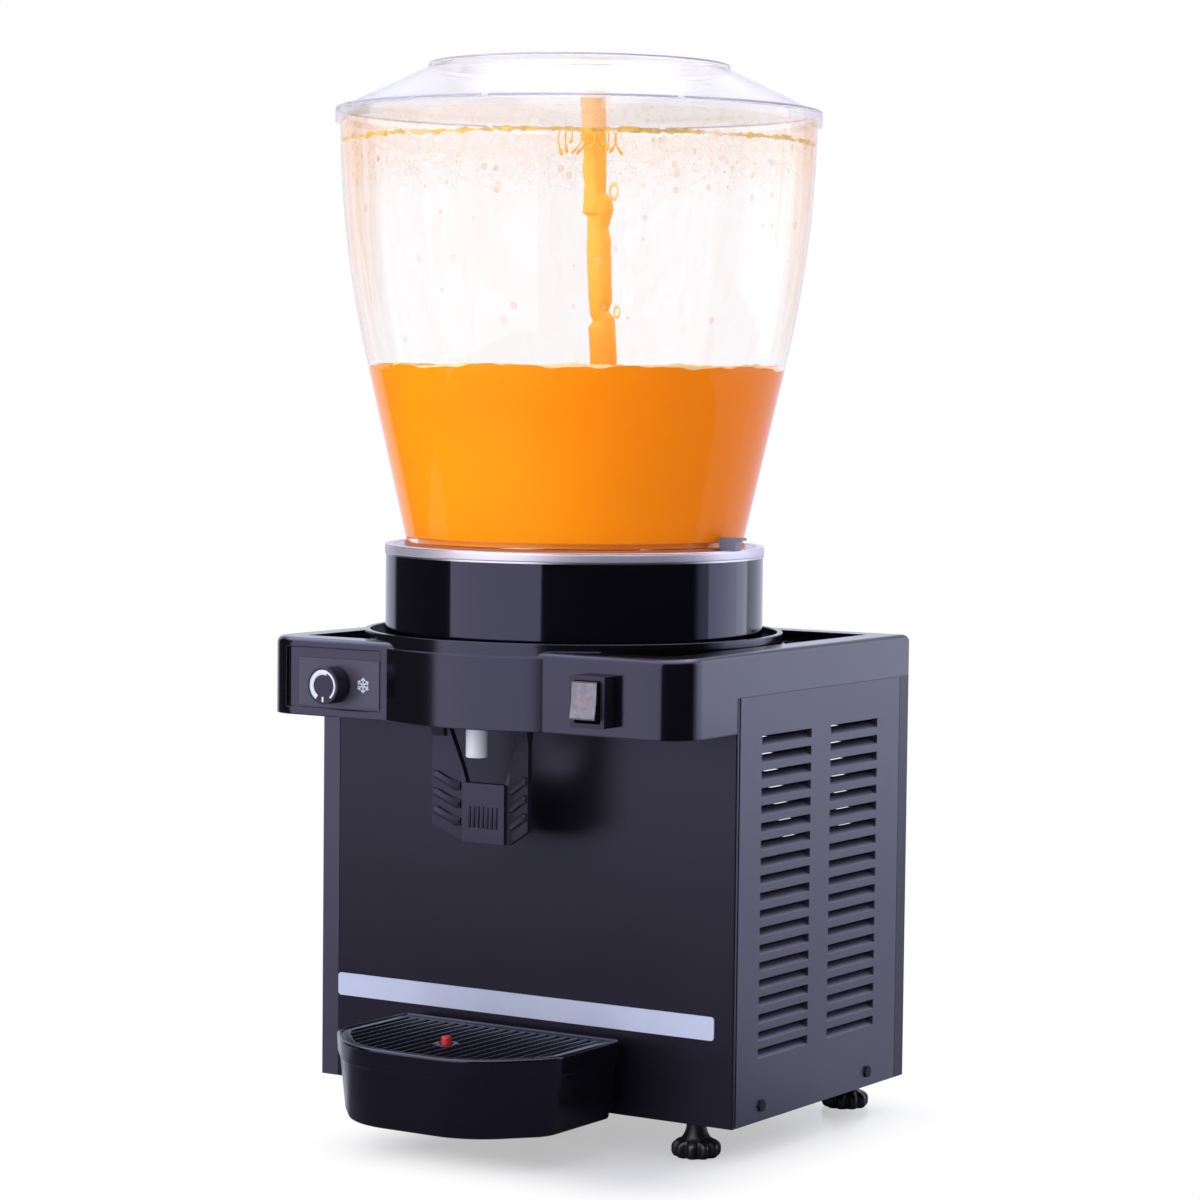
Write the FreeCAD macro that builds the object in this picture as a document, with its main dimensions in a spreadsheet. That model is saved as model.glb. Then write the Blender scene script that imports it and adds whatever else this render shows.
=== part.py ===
"""Countertop cold drink dispenser: clear bowl on a chilled plate, black cabinet, push tap, drip tray.

Millimetres, +Z up. The origin is on the counter under the middle of the cabinet. -Y is the front.
"""

import FreeCAD, Part
import math
import os

import Sketcher

SIZES = {
    # cabinet of folded sheet steel
    "cabinet_width": 290.0,
    "cabinet_depth": 204.0,
    "cabinet_floor": 21.0,
    "seam_height": 266.0,
    "sheet_gauge": 1.0,
    "front_return": 12.0,
    "front_lip": 1.4,
    "panel_joint": 1.5,
    "rear_return": 11.0,
    "front_panel_height": 241.0,
    "pan_gauge": 1.2,
    "pan_flange": 15.0,
    "seam_gap": 0.3,
    # louvres
    "louvre_rows": 19.0,
    "louvre_pitch": 10.0,
    "louvre_top_margin": 23.0,
    "louvre_length": 57.0,
    "louvre_rise": 5.5,
    "louvre_depth": 3.6,
    "louvre_gap": 1.5,
    "louvre_inset": 28.0,
    "louvre_column_pitch": 80.0,
    "rear_louvre_length": 110.0,
    "rear_column_pitch": 136.0,
    # moulded top housing
    "overhang_depth": 61.0,
    "overhang_height": 20.0,
    "housing_rise": 25.3,
    "corner_radius": 22.0,
    "rim_width": 19.0,
    "recess_depth": 6.8,
    "housing_wall": 3.0,
    "pod_wall": 5.5,
    "rim_rounding": 4.0,
    "collar_radius": 126.2,
    "collar_rise": 22.0,
    "upper_collar_radius": 124.0,
    "upper_collar_height": 7.7,
    "lip_width": 3.0,
    "groove_depth": 6.7,
    "well_radius": 96.5,
    # left pod: control plate, thermostat and knob
    "panel_recess_left": 18.0,
    "panel_recess_right": 86.0,
    "panel_recess_low": 4.5,
    "panel_recess_high": 40.0,
    "panel_recess_depth": 2.5,
    "control_plate_width": 58.0,
    "control_plate_height": 28.0,
    "control_plate_gauge": 1.2,
    "control_plate_inset": 55.5,
    "knob_inset": 53.0,
    "knob_height": 19.0,
    "knob_radius": 10.8,
    "knob_length": 12.0,
    "spindle_radius": 3.0,
    "thermostat_width": 32.0,
    "thermostat_height": 24.0,
    "thermostat_depth": 22.0,
    # right pod: rocker switch
    "switch_inset": 55.0,
    "bezel_width": 22.6,
    "bezel_height": 28.7,
    "bezel_depth": 9.6,
    "rocker_width": 16.4,
    "rocker_height": 21.4,
    "rocker_depth": 10.0,
    "rocker_stand": 4.4,
    "rocker_dish": 0.6,
    "switch_body_depth": 22.0,
    "switch_pin": 1.2,
    # trim strip
    "strip_margin": 12.5,
    "strip_height": 13.6,
    "strip_base": 70.6,
    "strip_gauge": 0.8,
    # tank
    "tank_setback": 53.0,
    "shroud_radius": 112.0,
    "shroud_height": 51.0,
    "shroud_wall": 3.0,
    "plate_radius": 112.3,
    "plate_edge": 6.0,
    "plate_gauge": 1.0,
    "gasket_inner": 93.5,
    "gasket_outer": 101.0,
    "gasket_height": 1.5,
    "bowl_foot_radius": 99.8,
    "bowl_belly_radius": 124.8,
    "bowl_belly_height": 110.3,
    "bowl_rim_radius": 140.6,
    "bowl_height": 249.3,
    "bowl_curve": 636.0,
    "bowl_wall": 3.0,
    "bowl_foot_width": 6.0,
    "lug_reach": 11.1,
    "lug_width": 6.6,
    "lug_height": 7.4,
    "lug_lip": 3.5,
    # lid
    "lid_fit": 0.6,
    "lid_wall": 2.4,
    "lid_skirt": 6.6,
    "lid_brim": 7.6,
    "lid_disc_radius": 89.0,
    "lid_rise": 29.0,
    "lid_disc_step": 3.0,
    # pump
    "pump_setback": 29.0,
    "pump_radius": 24.0,
    "pump_wall": 2.5,
    "pump_height": 22.0,
    "nozzle_height": 74.0,
    "nozzle_radius": 6.5,
    "nozzle_bore": 4.0,
    "impeller_radius": 19.5,
    "impeller_height": 11.0,
    "post_radius": 2.0,
    "magnet_radius": 19.0,
    "magnet_height": 12.0,
    "motor_radius": 27.0,
    "motor_height": 60.0,
    "motor_flange_radius": 33.0,
    "motor_plate_radius": 107.5,
    "motor_plate_gauge": 1.5,
    "coil_inner": 52.0,
    "coil_outer": 78.0,
    "coil_height": 9.5,
    "foam_inner": 80.5,
    # tap
    "spout_reach": 100.6,
    "spout_radius": 6.2,
    "spout_bore": 4.2,
    "spout_drop": 18.6,
    "inlet_reach": 88.0,
    "inlet_radius": 7.0,
    "inlet_bore": 4.5,
    "chamber_radius": 10.0,
    "chamber_bore": 6.0,
    "chamber_height": 14.5,
    "plunger_stem": 2.3,
    "plunger_knob": 5.0,
    "pivot_reach": 112.0,
    "pivot_height": 20.0,
    "pin_radius": 2.0,
    "pin_length": 76.0,
    "hub_radius": 4.0,
    # push lever
    "lever_width": 67.0,
    "lever_drop": 69.0,
    "lever_wall": 4.0,
    "lever_sweep": 6.3,
    "lever_chamfer": 10.0,
    "rib_height": 4.4,
    "rib_stand": 1.2,
    "grip_width": 29.4,
    "grip_height": 34.5,
    "grip_stand": 2.5,
    "notch_top": 50.0,
    "notch_height": 34.5,
    "tongue_gauge": 3.2,
    # drip tray
    "tray_width": 153.0,
    "tray_gap": 9.0,
    "tray_side": 57.0,
    "tray_depth": 108.5,
    "tray_front": 56.0,
    "tray_corner": 18.0,
    "tray_top": 66.8,
    "tray_band": 11.8,
    "tray_step": 1.75,
    "tray_draft": 6.0,
    "tray_wall": 2.5,
    "tray_floor": 34.0,
    "grille_gauge": 3.0,
    "grille_recess": 0.8,
    "slot_pitch": 7.1,
    "slot_width": 3.5,
    "slot_count": 20.0,
    "grille_border": 5.0,
    "float_setback": 75.5,
    "float_radius": 3.5,
    "bracket_gauge": 2.0,
    "arm_width": 12.0,
    "arm_gauge": 3.0,
    "arm_spread": 44.0,
    # levelling feet
    "foot_inset_x": 32.0,
    "foot_inset_y": 14.0,
    "foot_radius": 14.3,
    "foot_height": 9.0,
    "foot_stud": 5.5,
    "foot_flare": 4.5,
    "foot_lobes": 10.0,
    # refrigeration set
    "side_clearance": 8.0,
    "compressor_y": 8.0,
    "compressor_width": 112.0,
    "compressor_depth": 140.0,
    "compressor_height": 118.0,
    "mount_height": 12.0,
    "condenser_gauge": 40.0,
    "condenser_width": 140.0,
    "condenser_height": 140.0,
    "fan_radius": 56.0,
    "fan_motor_radius": 26.0,
    "fan_motor_length": 34.0,
    "drier_radius": 9.0,
    "drier_length": 92.0,
    "line_radius": 3.2,
    "line_bend": 8.0,
    "gland_radius": 11.0,
    # running clearances
    "slip": 0.3,
}

document = FreeCAD.newDocument("drink_dispenser")
sheet = document.addObject("Spreadsheet::Sheet", "Sizes")
for row, (alias, number) in enumerate(SIZES.items(), 1):
    sheet.set(f"A{row}", alias)
    sheet.set(f"B{row}", str(number))
    sheet.setAlias(f"B{row}", alias)
document.recompute()

UP = FreeCAD.Vector(0, 0, 1)


class Size:
    """A number together with the expression of sheet names that gives it."""

    def __init__(self, value, text):
        self.value = float(value)
        self.text = text

    def __add__(self, other):
        other = size(other)
        return Size(self.value + other.value, f"({self.text} + {other.text})")

    def __sub__(self, other):
        other = size(other)
        return Size(self.value - other.value, f"({self.text} - {other.text})")

    def __mul__(self, other):
        other = size(other)
        return Size(self.value * other.value, f"({self.text} * {other.text})")

    def __truediv__(self, other):
        other = size(other)
        return Size(self.value / other.value, f"({self.text} / {other.text})")

    def __radd__(self, other):
        return size(other) + self

    def __rsub__(self, other):
        return size(other) - self

    def __rmul__(self, other):
        return size(other) * self

    def __neg__(self):
        return size(0) - self

    def __float__(self):
        return self.value


def size(value):
    """A plain number as a Size; a Size stays as it is."""
    return value if isinstance(value, Size) else Size(value, f"({float(value)!r})")


def root(value):
    """Square root of a Size."""
    return Size(math.sqrt(value.value), f"sqrt({value.text})")


class Names:
    """The sheet's aliases as attributes."""

    def __init__(self, sizes):
        for alias in sizes:
            setattr(self, alias, Size(sheet.get(alias), f"Sizes.{alias}"))


s = Names(SIZES)


def bind(item, path, value):
    """Ties a property of an item to the sheet."""
    item.setExpression(path, size(value).text)


def place(item, x=0, y=0, z=0):
    """Ties an item's place to the sheet."""
    for letter, value in zip("xyz", (x, y, z)):
        bind(item, f"Placement.Base.{letter}", value)


def origin(body, role):
    """One of a body's own origin planes or axes."""
    return next(item for item in body.Origin.OriginFeatures if item.Role == role)


def new_body(name):
    return document.addObject("PartDesign::Body", name)


def circle(u, v, radius):
    return ("circle", u, v, radius)


def rectangle(u0, u1, v0, v1):
    return [(u0, v0), (u1, v0), (u1, v1), (u0, v1)]


def hexagon(u, v, reach):
    """Six corners round a centre; reach is the distance from the centre to a flat."""
    far = size(reach) * 2 / root(size(3))
    return [(u + far, v), (u + far / 2, v + reach), (u - far / 2, v + reach), (u - far, v),
            (u - far / 2, v - reach), (u + far / 2, v - reach)]


def octagon(reach):
    """Eight corners round the origin; reach is the distance from the centre to a flat."""
    near = reach * math.tan(math.pi / 8)
    return [(reach, -near), (reach, near), (near, reach), (-near, reach), (-reach, near), (-reach, -near),
            (-near, -reach), (near, -reach)]


def arc_geometry(start, end, radius, turn):
    """The minor arc from start to end; turn is 1 to run anticlockwise and -1 to run clockwise."""
    run = end - start
    rise = math.sqrt(max(radius * radius - run.Length * run.Length / 4, 0.0))
    side = FreeCAD.Vector(-run.y, run.x, 0).normalize() * (rise * turn)
    centre = (start + end) / 2 + side
    first, last = (start, end) if turn > 0 else (end, start)
    angles = [math.atan2(point.y - centre.y, point.x - centre.x) for point in (first, last)]
    if angles[1] < angles[0]:
        angles[1] += 2 * math.pi
    return Part.ArcOfCircle(Part.Circle(centre, UP, radius), *angles)


def draw_loop(sketch, corners):
    """Adds one closed outline. A corner is (u, v), or (u, v, radius, turn) where an arc leaves it."""
    first = sketch.GeometryCount
    count = len(corners)
    points = [FreeCAD.Vector(float(corner[0]), float(corner[1]), 0) for corner in corners]
    ends = []
    for index, corner in enumerate(corners):
        start, end = points[index], points[(index + 1) % count]
        if len(corner) == 2:
            sketch.addGeometry(Part.LineSegment(start, end), False)
            ends.append((1, 2))
        else:
            sketch.addGeometry(arc_geometry(start, end, float(corner[2]), corner[3]), False)
            ends.append((1, 2) if corner[3] > 0 else (2, 1))
    for index, corner in enumerate(corners):
        after = (index + 1) % count
        sketch.addConstraint(
            Sketcher.Constraint("Coincident", first + index, ends[index][1], first + after, ends[after][0])
        )
        for kind, value in (("DistanceX", corner[0]), ("DistanceY", corner[1])):
            rule = Sketcher.Constraint(kind, -1, 1, first + index, ends[index][0], float(value))
            bind(sketch, f"Constraints[{sketch.addConstraint(rule)}]", value)
        if len(corner) > 2:
            rule = Sketcher.Constraint("Radius", first + index, float(corner[2]))
            bind(sketch, f"Constraints[{sketch.addConstraint(rule)}]", corner[2])


def draw_circle(sketch, u, v, radius):
    index = sketch.addGeometry(Part.Circle(FreeCAD.Vector(float(u), float(v), 0), UP, float(radius)), False)
    for kind, value in (("DistanceX", u), ("DistanceY", v)):
        rule = Sketcher.Constraint(kind, -1, 1, index, 3, float(value))
        bind(sketch, f"Constraints[{sketch.addConstraint(rule)}]", value)
    rule = Sketcher.Constraint("Radius", index, float(radius))
    bind(sketch, f"Constraints[{sketch.addConstraint(rule)}]", radius)


def outline(body, name, plane, height, *loops):
    """A sketch on a body's own plane, lifted to a height along +X, +Y or +Z."""
    sketch = body.newObject("Sketcher::SketchObject", name)
    sketch.AttachmentSupport = [(origin(body, plane + "_Plane"), "")]
    sketch.MapMode = "FlatFace"
    bind(sketch, "AttachmentOffset.Base.z", -size(height) if plane == "XZ" else height)
    for loop in loops:
        if loop[0] == "circle":
            draw_circle(sketch, *loop[1:])
        else:
            draw_loop(sketch, loop)
    return sketch


def pad(body, name, plane, start, end, *loops, taper=None, middle=False):
    """Adds material from one height to another. With middle, end is the full width about start."""
    feature = body.newObject("PartDesign::Pad", name)
    feature.Profile = outline(body, name + "_outline", plane, start, *loops)
    if middle:
        feature.Midplane = True
        bind(feature, "Length", end)
        return feature
    grows = float(end) > float(start)
    feature.Reversed = grows == (plane == "XZ")
    bind(feature, "Length", end - size(start) if grows else size(start) - end)
    if taper is not None:
        bind(feature, "TaperAngle", taper)
    return feature


def pocket(body, name, plane, start, end, *loops, taper=None, middle=False):
    """Removes material from one height to another. With middle, end is the full width about start."""
    feature = body.newObject("PartDesign::Pocket", name)
    feature.Profile = outline(body, name + "_outline", plane, start, *loops)
    if middle:
        feature.Midplane = True
        bind(feature, "Length", end)
        return feature
    grows = float(end) > float(start)
    feature.Reversed = grows != (plane == "XZ")
    bind(feature, "Length", end - size(start) if grows else size(start) - end)
    if taper is not None:
        bind(feature, "TaperAngle", taper)
    return feature


def revolve(body, name, corners):
    """Turns an outline of (radius, height) corners about the body's upright axis."""
    feature = body.newObject("PartDesign::Revolution", name)
    profile = outline(body, name + "_profile", "XZ", 0, corners)
    feature.Profile = profile
    feature.ReferenceAxis = (profile, ["V_Axis"])
    feature.Angle = 360
    return feature


def ring(body, name, inner, outer, low, high):
    return revolve(body, name, [(inner, low), (outer, low), (outer, high), (inner, high)])


def spread(body, name, features, axis, length, count, axis2=None, length2=0, count2=1):
    """Repeats features along one or two of the body's axes. The lengths run from first to last copy."""
    pattern = body.newObject("PartDesign::LinearPattern", name)
    pattern.Originals = features
    pattern.Direction = (origin(body, axis + "_Axis"), [""])
    pattern.Reversed = float(length) < 0
    bind(pattern, "Length", -length if float(length) < 0 else length)
    pattern.Occurrences = round(float(count))
    if axis2:
        pattern.Direction2 = (origin(body, axis2 + "_Axis"), [""])
        bind(pattern, "Length2", length2)
        pattern.Occurrences2 = round(float(count2))
    body.Tip = pattern
    return pattern


def spin(body, name, features, count):
    """Repeats features round the body's upright axis."""
    pattern = body.newObject("PartDesign::PolarPattern", name)
    pattern.Originals = features
    pattern.Axis = (origin(body, "Z_Axis"), [""])
    pattern.Angle = 360
    pattern.Occurrences = round(float(count))
    body.Tip = pattern
    return pattern


def edges_near(shape, points):
    """Names of the edges that pass through any of the points."""
    marks = [Part.Vertex(*[float(value) for value in point]) for point in points]
    found = []
    for index, edge in enumerate(shape.Edges, 1):
        if any(edge.distToShape(mark)[0] < 0.01 for mark in marks):
            found.append(f"Edge{index}")
    return found


def edges_between(shape, low, high, limit):
    """Names of the edges that run from one height to another in front of a limit along Y."""
    found = []
    for index, edge in enumerate(shape.Edges, 1):
        heights = sorted(vertex.Z for vertex in edge.Vertexes)
        level = abs(heights[0] - float(low)) < 0.01 and abs(heights[-1] - float(high)) < 0.01
        if level and max(vertex.Y for vertex in edge.Vertexes) < float(limit):
            found.append(f"Edge{index}")
    return found


def fillet(body, name, points, radius, edges=None):
    """Rounds the edges of the body's last feature that pass through the points, or the named ones."""
    document.recompute()
    base = body.Tip
    feature = body.newObject("PartDesign::Fillet", name)
    feature.Base = (base, edges or edges_near(base.Shape, points))
    bind(feature, "Radius", radius)
    return feature


def box(name, x, y, z):
    """A block between pairs of limits."""
    block = document.addObject("Part::Box", name)
    for side, limits in (("Length", x), ("Width", y), ("Height", z)):
        bind(block, side, size(limits[1]) - limits[0])
    place(block, x[0], y[0], z[0])
    return block


def rod(name, radius, axis, start, end, x=0, y=0, z=0):
    """A round bar along X, Y or Z from start to end, centred on the other two coordinates."""
    bar = document.addObject("Part::Cylinder", name)
    bind(bar, "Radius", radius)
    bind(bar, "Height", size(end) - start)
    turns = {"X": (FreeCAD.Vector(0, 1, 0), 90), "Y": (FreeCAD.Vector(1, 0, 0), -90), "Z": (UP, 0)}
    bar.Placement = FreeCAD.Placement(FreeCAD.Vector(), FreeCAD.Rotation(*turns[axis]))
    base = {"X": (start, y, z), "Y": (x, start, z), "Z": (x, y, start)}[axis]
    place(bar, *base)
    return bar


def elbow(name, radius, bend, turn, x, y, z):
    """A quarter bend of round tube in the XZ plane round (x, z), from turn to turn + 90 degrees."""
    quarter = document.addObject("Part::Torus", name)
    bind(quarter, "Radius1", bend)
    bind(quarter, "Radius2", radius)
    quarter.Angle3 = 90
    upright = FreeCAD.Rotation(FreeCAD.Vector(1, 0, 0), 90)
    quarter.Placement = FreeCAD.Placement(FreeCAD.Vector(), upright * FreeCAD.Rotation(UP, turn))
    place(quarter, x, y, z)
    return quarter


def fuse(name, *shapes):
    joined = document.addObject("Part::MultiFuse", name)
    joined.Shapes = list(shapes)
    joined.Refine = True
    return joined


def cut(name, base, *tools):
    tool = tools[0] if len(tools) == 1 else fuse(name + "_tools", *tools)
    result = document.addObject("Part::Cut", name)
    result.Base = base
    result.Tool = tool
    result.Refine = True
    return result


# Main levels and planes
side = s.cabinet_width / 2
front = -s.cabinet_depth / 2
rear = s.cabinet_depth / 2
inner_side = side - s.sheet_gauge
inner_front = front + s.sheet_gauge
inner_rear = rear - s.sheet_gauge
floor = s.cabinet_floor
seam = s.seam_height
tank_y = front + s.tank_setback
pod_front = front - s.overhang_depth
overhang = seam - s.overhang_height
rim_top = seam + s.housing_rise
recess_floor = rim_top - s.recess_depth
collar_top = seam + s.collar_rise
lip_top = collar_top + s.upper_collar_height
groove_floor = lip_top - s.groove_depth
collar_ceiling = groove_floor - s.housing_wall
shroud_top = groove_floor + s.shroud_height
plate_top = shroud_top + s.plate_edge
plate_under = plate_top - s.plate_gauge
bowl_base = plate_top + s.gasket_height + 0.2
bowl_rim = bowl_base + s.bowl_height
lid_base = bowl_rim - s.lid_skirt * 0.5
pump_y = tank_y + s.pump_setback
spout_y = tank_y - s.spout_reach
inlet_y = tank_y - s.inlet_reach
pivot_y = tank_y - s.pivot_reach
pivot_z = overhang + s.pivot_height
foot_x = side - s.foot_inset_x
foot_y = rear - s.foot_inset_y
knob_x = -side + s.knob_inset
switch_x = side - s.switch_inset
lid_radius = s.bowl_rim_radius + s.lid_fit + s.lid_wall
compressor_x = -inner_side + s.side_clearance + s.compressor_width / 2 + 3
condenser_x = inner_side - s.side_clearance - s.condenser_gauge / 2
compressor_base = floor + s.pan_gauge + s.mount_height
compressor_top = compressor_base + s.compressor_height


def louvres(body, plane, face, inward, centre, length, along="Y", pitch=0, columns=1):
    """Blades pressed inwards under a straight cut, in rows down the panel. The upper edge is free."""
    top = seam - s.louvre_top_margin
    skin = face + inward * s.sheet_gauge
    tip = skin + inward * s.louvre_depth
    root_line = top - s.louvre_rise
    tip_line = top - s.louvre_gap
    scoop = pad(
        body, "scoop", plane, centre, length + s.sheet_gauge * 2,
        [(skin, top), (skin, root_line - s.sheet_gauge), (tip, tip_line)], middle=True,
    )
    beyond = tip + inward * 1.0
    slope = (tip_line - root_line) / (s.sheet_gauge + s.louvre_depth)
    window = pocket(
        body, "window", plane, centre, length,
        [(face, root_line), (face, top), (beyond, top), (beyond, tip_line + slope * 1.0)], middle=True,
    )
    spread(
        body, "rows", [scoop, window], "Z", -(s.louvre_pitch * (s.louvre_rows - 1)), s.louvre_rows,
        along, pitch, columns,
    )


def side_column(offset=0):
    """Y of the middle of the front column of side louvres."""
    return front + s.louvre_inset + s.louvre_length / 2 + offset


def make_front_panel():
    """Flat front whose right edge turns back by a small lip."""
    body = new_body("front_panel")
    left = -side + s.front_return + s.seam_gap
    lip = inner_front + s.front_lip
    plan = [
        (left, front), (side, front), (side, lip), (inner_side, lip), (inner_side, inner_front),
        (left, inner_front),
    ]
    pad(body, "sheet", "XY", floor, floor + s.front_panel_height, plan)
    pad(body, "lip_top", "XY", floor + s.front_panel_height, seam - s.seam_gap,
        rectangle(inner_side, side, front, lip))
    fillet(body, "bend", [(side, front, floor + 50)], s.sheet_gauge * 0.95)
    return body


def make_left_side_panel():
    """Side wall that turns round the front corner and closes the joint with the front panel."""
    body = new_body("left_side_panel")
    turn = -side + s.front_return
    plan = [
        (-side, front), (turn, front), (turn, inner_front), (-inner_side, inner_front),
        (-inner_side, inner_rear), (-side, inner_rear),
    ]
    pad(body, "sheet", "XY", floor, seam, plan)
    pocket(body, "return_top", "XZ", front, inner_front,
           rectangle(-inner_side, turn, floor + s.front_panel_height, seam))
    louvres(body, "XZ", -side, 1, side_column(), s.louvre_length, "Y", s.louvre_column_pitch, 2)
    return body


def make_right_side_panel():
    """Side wall between the front panel's lip and the rear panel's return."""
    body = new_body("right_side_panel")
    start = inner_front + s.front_lip + s.panel_joint
    end = rear - s.rear_return - s.seam_gap
    pad(body, "sheet", "YZ", inner_side, side, rectangle(start, end, floor, seam))
    louvres(body, "XZ", side, -1, side_column(), s.louvre_length, "Y", s.louvre_column_pitch, 2)
    return body


def make_rear_panel():
    """Rear wall with its return on the right side and two wide columns of louvres."""
    body = new_body("rear_panel")
    start = rear - s.rear_return
    plan = [
        (-side, inner_rear), (inner_side, inner_rear), (inner_side, start), (side, start),
        (side, rear), (-side, rear),
    ]
    pad(body, "sheet", "XY", floor, seam, plan)
    pocket(body, "gland_hole", "XZ", rear + 1, inner_rear - 1,
           circle(gland_x(), gland_z(), s.gland_radius * 0.7))
    louvres(body, "YZ", rear, -1, -s.rear_column_pitch / 2, s.rear_louvre_length, "X",
            s.rear_column_pitch, 2)
    return body


def gland_x():
    return side - 35


def gland_z():
    return floor + s.pan_flange + s.gland_radius * 0.9 + s.slip


def make_base_pan():
    """Folded pan with weld nuts for the levelling feet."""
    body = new_body("base_pan")
    pad(body, "block", "XY", floor, floor + s.pan_flange,
        rectangle(-inner_side, inner_side, inner_front, inner_rear))
    wall = s.pan_gauge
    pocket(body, "tray", "XY", floor + s.pan_flange, floor + s.pan_gauge,
           rectangle(-inner_side + wall, inner_side - wall, inner_front + wall, inner_rear - wall))
    corners = [(x, y) for x in (-foot_x, foot_x) for y in (-foot_y, foot_y)]
    pad(body, "weld_nuts", "XY", floor + s.pan_gauge, floor + s.pan_gauge + 7,
        *[hexagon(x, y, s.foot_stud + 2.8) for x, y in corners])
    pocket(body, "stud_holes", "XY", floor + s.pan_gauge + 8, floor - 1,
           *[circle(x, y, s.foot_stud + s.slip) for x, y in corners])
    return body


def housing_plan(inset, front_inset, back):
    """Rounded front outline of the housing, drawn in by a wall."""
    radius = s.corner_radius - inset
    x = side - inset
    y = pod_front + front_inset
    return [
        (-x, back), (-x, y + radius, radius, 1), (-x + radius, y), (x - radius, y, radius, 1),
        (x, y + radius), (x, back),
    ]


def make_top_housing():
    """Moulded top: rim and drip recess, two pods, round collar with its lip and drip groove."""
    body = new_body("top_housing")
    pad(body, "rim", "XY", seam, rim_top, housing_plan(0, 0, rear))
    pad(body, "apron", "XY", overhang, seam, housing_plan(0, 0, front))
    fillet(body, "soft_rim", [(-side, 0, rim_top), (side, 0, rim_top), (0, rear, rim_top),
                              (0, pod_front, rim_top)], s.rim_rounding)
    half = root(s.collar_radius * s.collar_radius - s.tank_setback * s.tank_setback)
    pad(body, "collar_front", "XY", overhang, collar_top, [(-half, front, s.collar_radius, 1), (half, front)])
    edge = side - s.rim_width
    pocket(body, "drip_recess", "XY", rim_top, recess_floor,
           rectangle(-edge, edge, pod_front + s.rim_width, rear - s.rim_width))
    pad(body, "collar", "XY", recess_floor, collar_top, circle(0, tank_y, s.collar_radius))
    pad(body, "upper_collar", "XY", collar_top, lip_top, circle(0, tank_y, s.upper_collar_radius))
    pocket(body, "drip_groove", "XY", lip_top, groove_floor,
           circle(0, tank_y, s.upper_collar_radius - s.lip_width))
    pocket(body, "hollow", "XY", overhang, recess_floor - s.housing_wall,
           housing_plan(s.housing_wall, s.pod_wall, rear - s.housing_wall))
    pocket(body, "collar_hollow", "XY", overhang, collar_ceiling,
           circle(0, tank_y, s.collar_radius - s.housing_wall))
    pocket(body, "well", "XY", lip_top, collar_ceiling - 1, circle(0, tank_y, s.well_radius))
    pocket(body, "panel_recess", "XZ", pod_front, pod_front + s.panel_recess_depth,
           rectangle(-side + s.panel_recess_left, -side + s.panel_recess_right, overhang + s.panel_recess_low,
                     overhang + s.panel_recess_high))
    pocket(body, "spindle_hole", "XZ", pod_front, pod_front + s.pod_wall + 1,
           circle(knob_x, overhang + s.knob_height, s.spindle_radius + 1))
    mouth = s.bezel_width / 2 - 1.8
    reach = s.bezel_height / 2 - 1.8
    middle = overhang + s.knob_height + 1
    pocket(body, "switch_hole", "XZ", pod_front, pod_front + s.pod_wall + 1,
           rectangle(switch_x - mouth, switch_x + mouth, middle - reach, middle + reach))
    return body


def make_control_plate():
    """Thin plate in the left pod's recess, round the knob."""
    body = new_body("control_plate")
    back = pod_front + s.panel_recess_depth
    middle = overhang + s.knob_height + 1
    x0 = -side + s.control_plate_inset - s.control_plate_width / 2
    x1 = x0 + s.control_plate_width
    z0 = middle - s.control_plate_height / 2
    z1 = middle + s.control_plate_height / 2
    pad(body, "plate", "XZ", back, back - s.control_plate_gauge, rectangle(x0, x1, z0, z1),
        circle(knob_x, overhang + s.knob_height, s.spindle_radius + 1))
    return body


def make_thermostat():
    """Thermostat case behind the pod wall, with a threaded neck through it."""
    x, z = knob_x, overhang + s.knob_height
    back = pod_front + s.pod_wall
    case = box(
        "thermostat_case",
        (x - s.thermostat_width / 2, x + s.thermostat_width / 2),
        (back + 0.2, back + 0.2 + s.thermostat_depth),
        (z - s.thermostat_height / 2, z + s.thermostat_height / 2),
    )
    bore = rod("thermostat_bore", s.spindle_radius + 0.15, "Y", back - 1, back + 12, x=x, z=z)
    return cut("thermostat", case, bore)


def make_spindle():
    """Round spindle from the thermostat into the knob."""
    x, z = knob_x, overhang + s.knob_height
    return rod("thermostat_spindle", s.spindle_radius, "Y",
               knob_face() + 3, pod_front + s.pod_wall + 11, x=x, z=z)


def knob_back():
    return pod_front + s.panel_recess_depth - s.control_plate_gauge - s.slip


def knob_face():
    return knob_back() - s.knob_length


def make_knob():
    """Turned knob with a blind bore. Its upright axis is laid along -Y."""
    body = new_body("thermostat_knob")
    r, deep = s.knob_radius, s.knob_length
    revolve(body, "turning", [
        (s.spindle_radius, 0), (r, 0), (r, deep), (0, deep), (0, deep - 3),
        (s.spindle_radius, deep - 3),
    ])
    body.Placement = FreeCAD.Placement(FreeCAD.Vector(), FreeCAD.Rotation(FreeCAD.Vector(1, 0, 0), 90))
    place(body, knob_x, knob_back(), overhang + s.knob_height)
    return body


def switch_middle():
    return overhang + s.knob_height + 1


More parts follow.
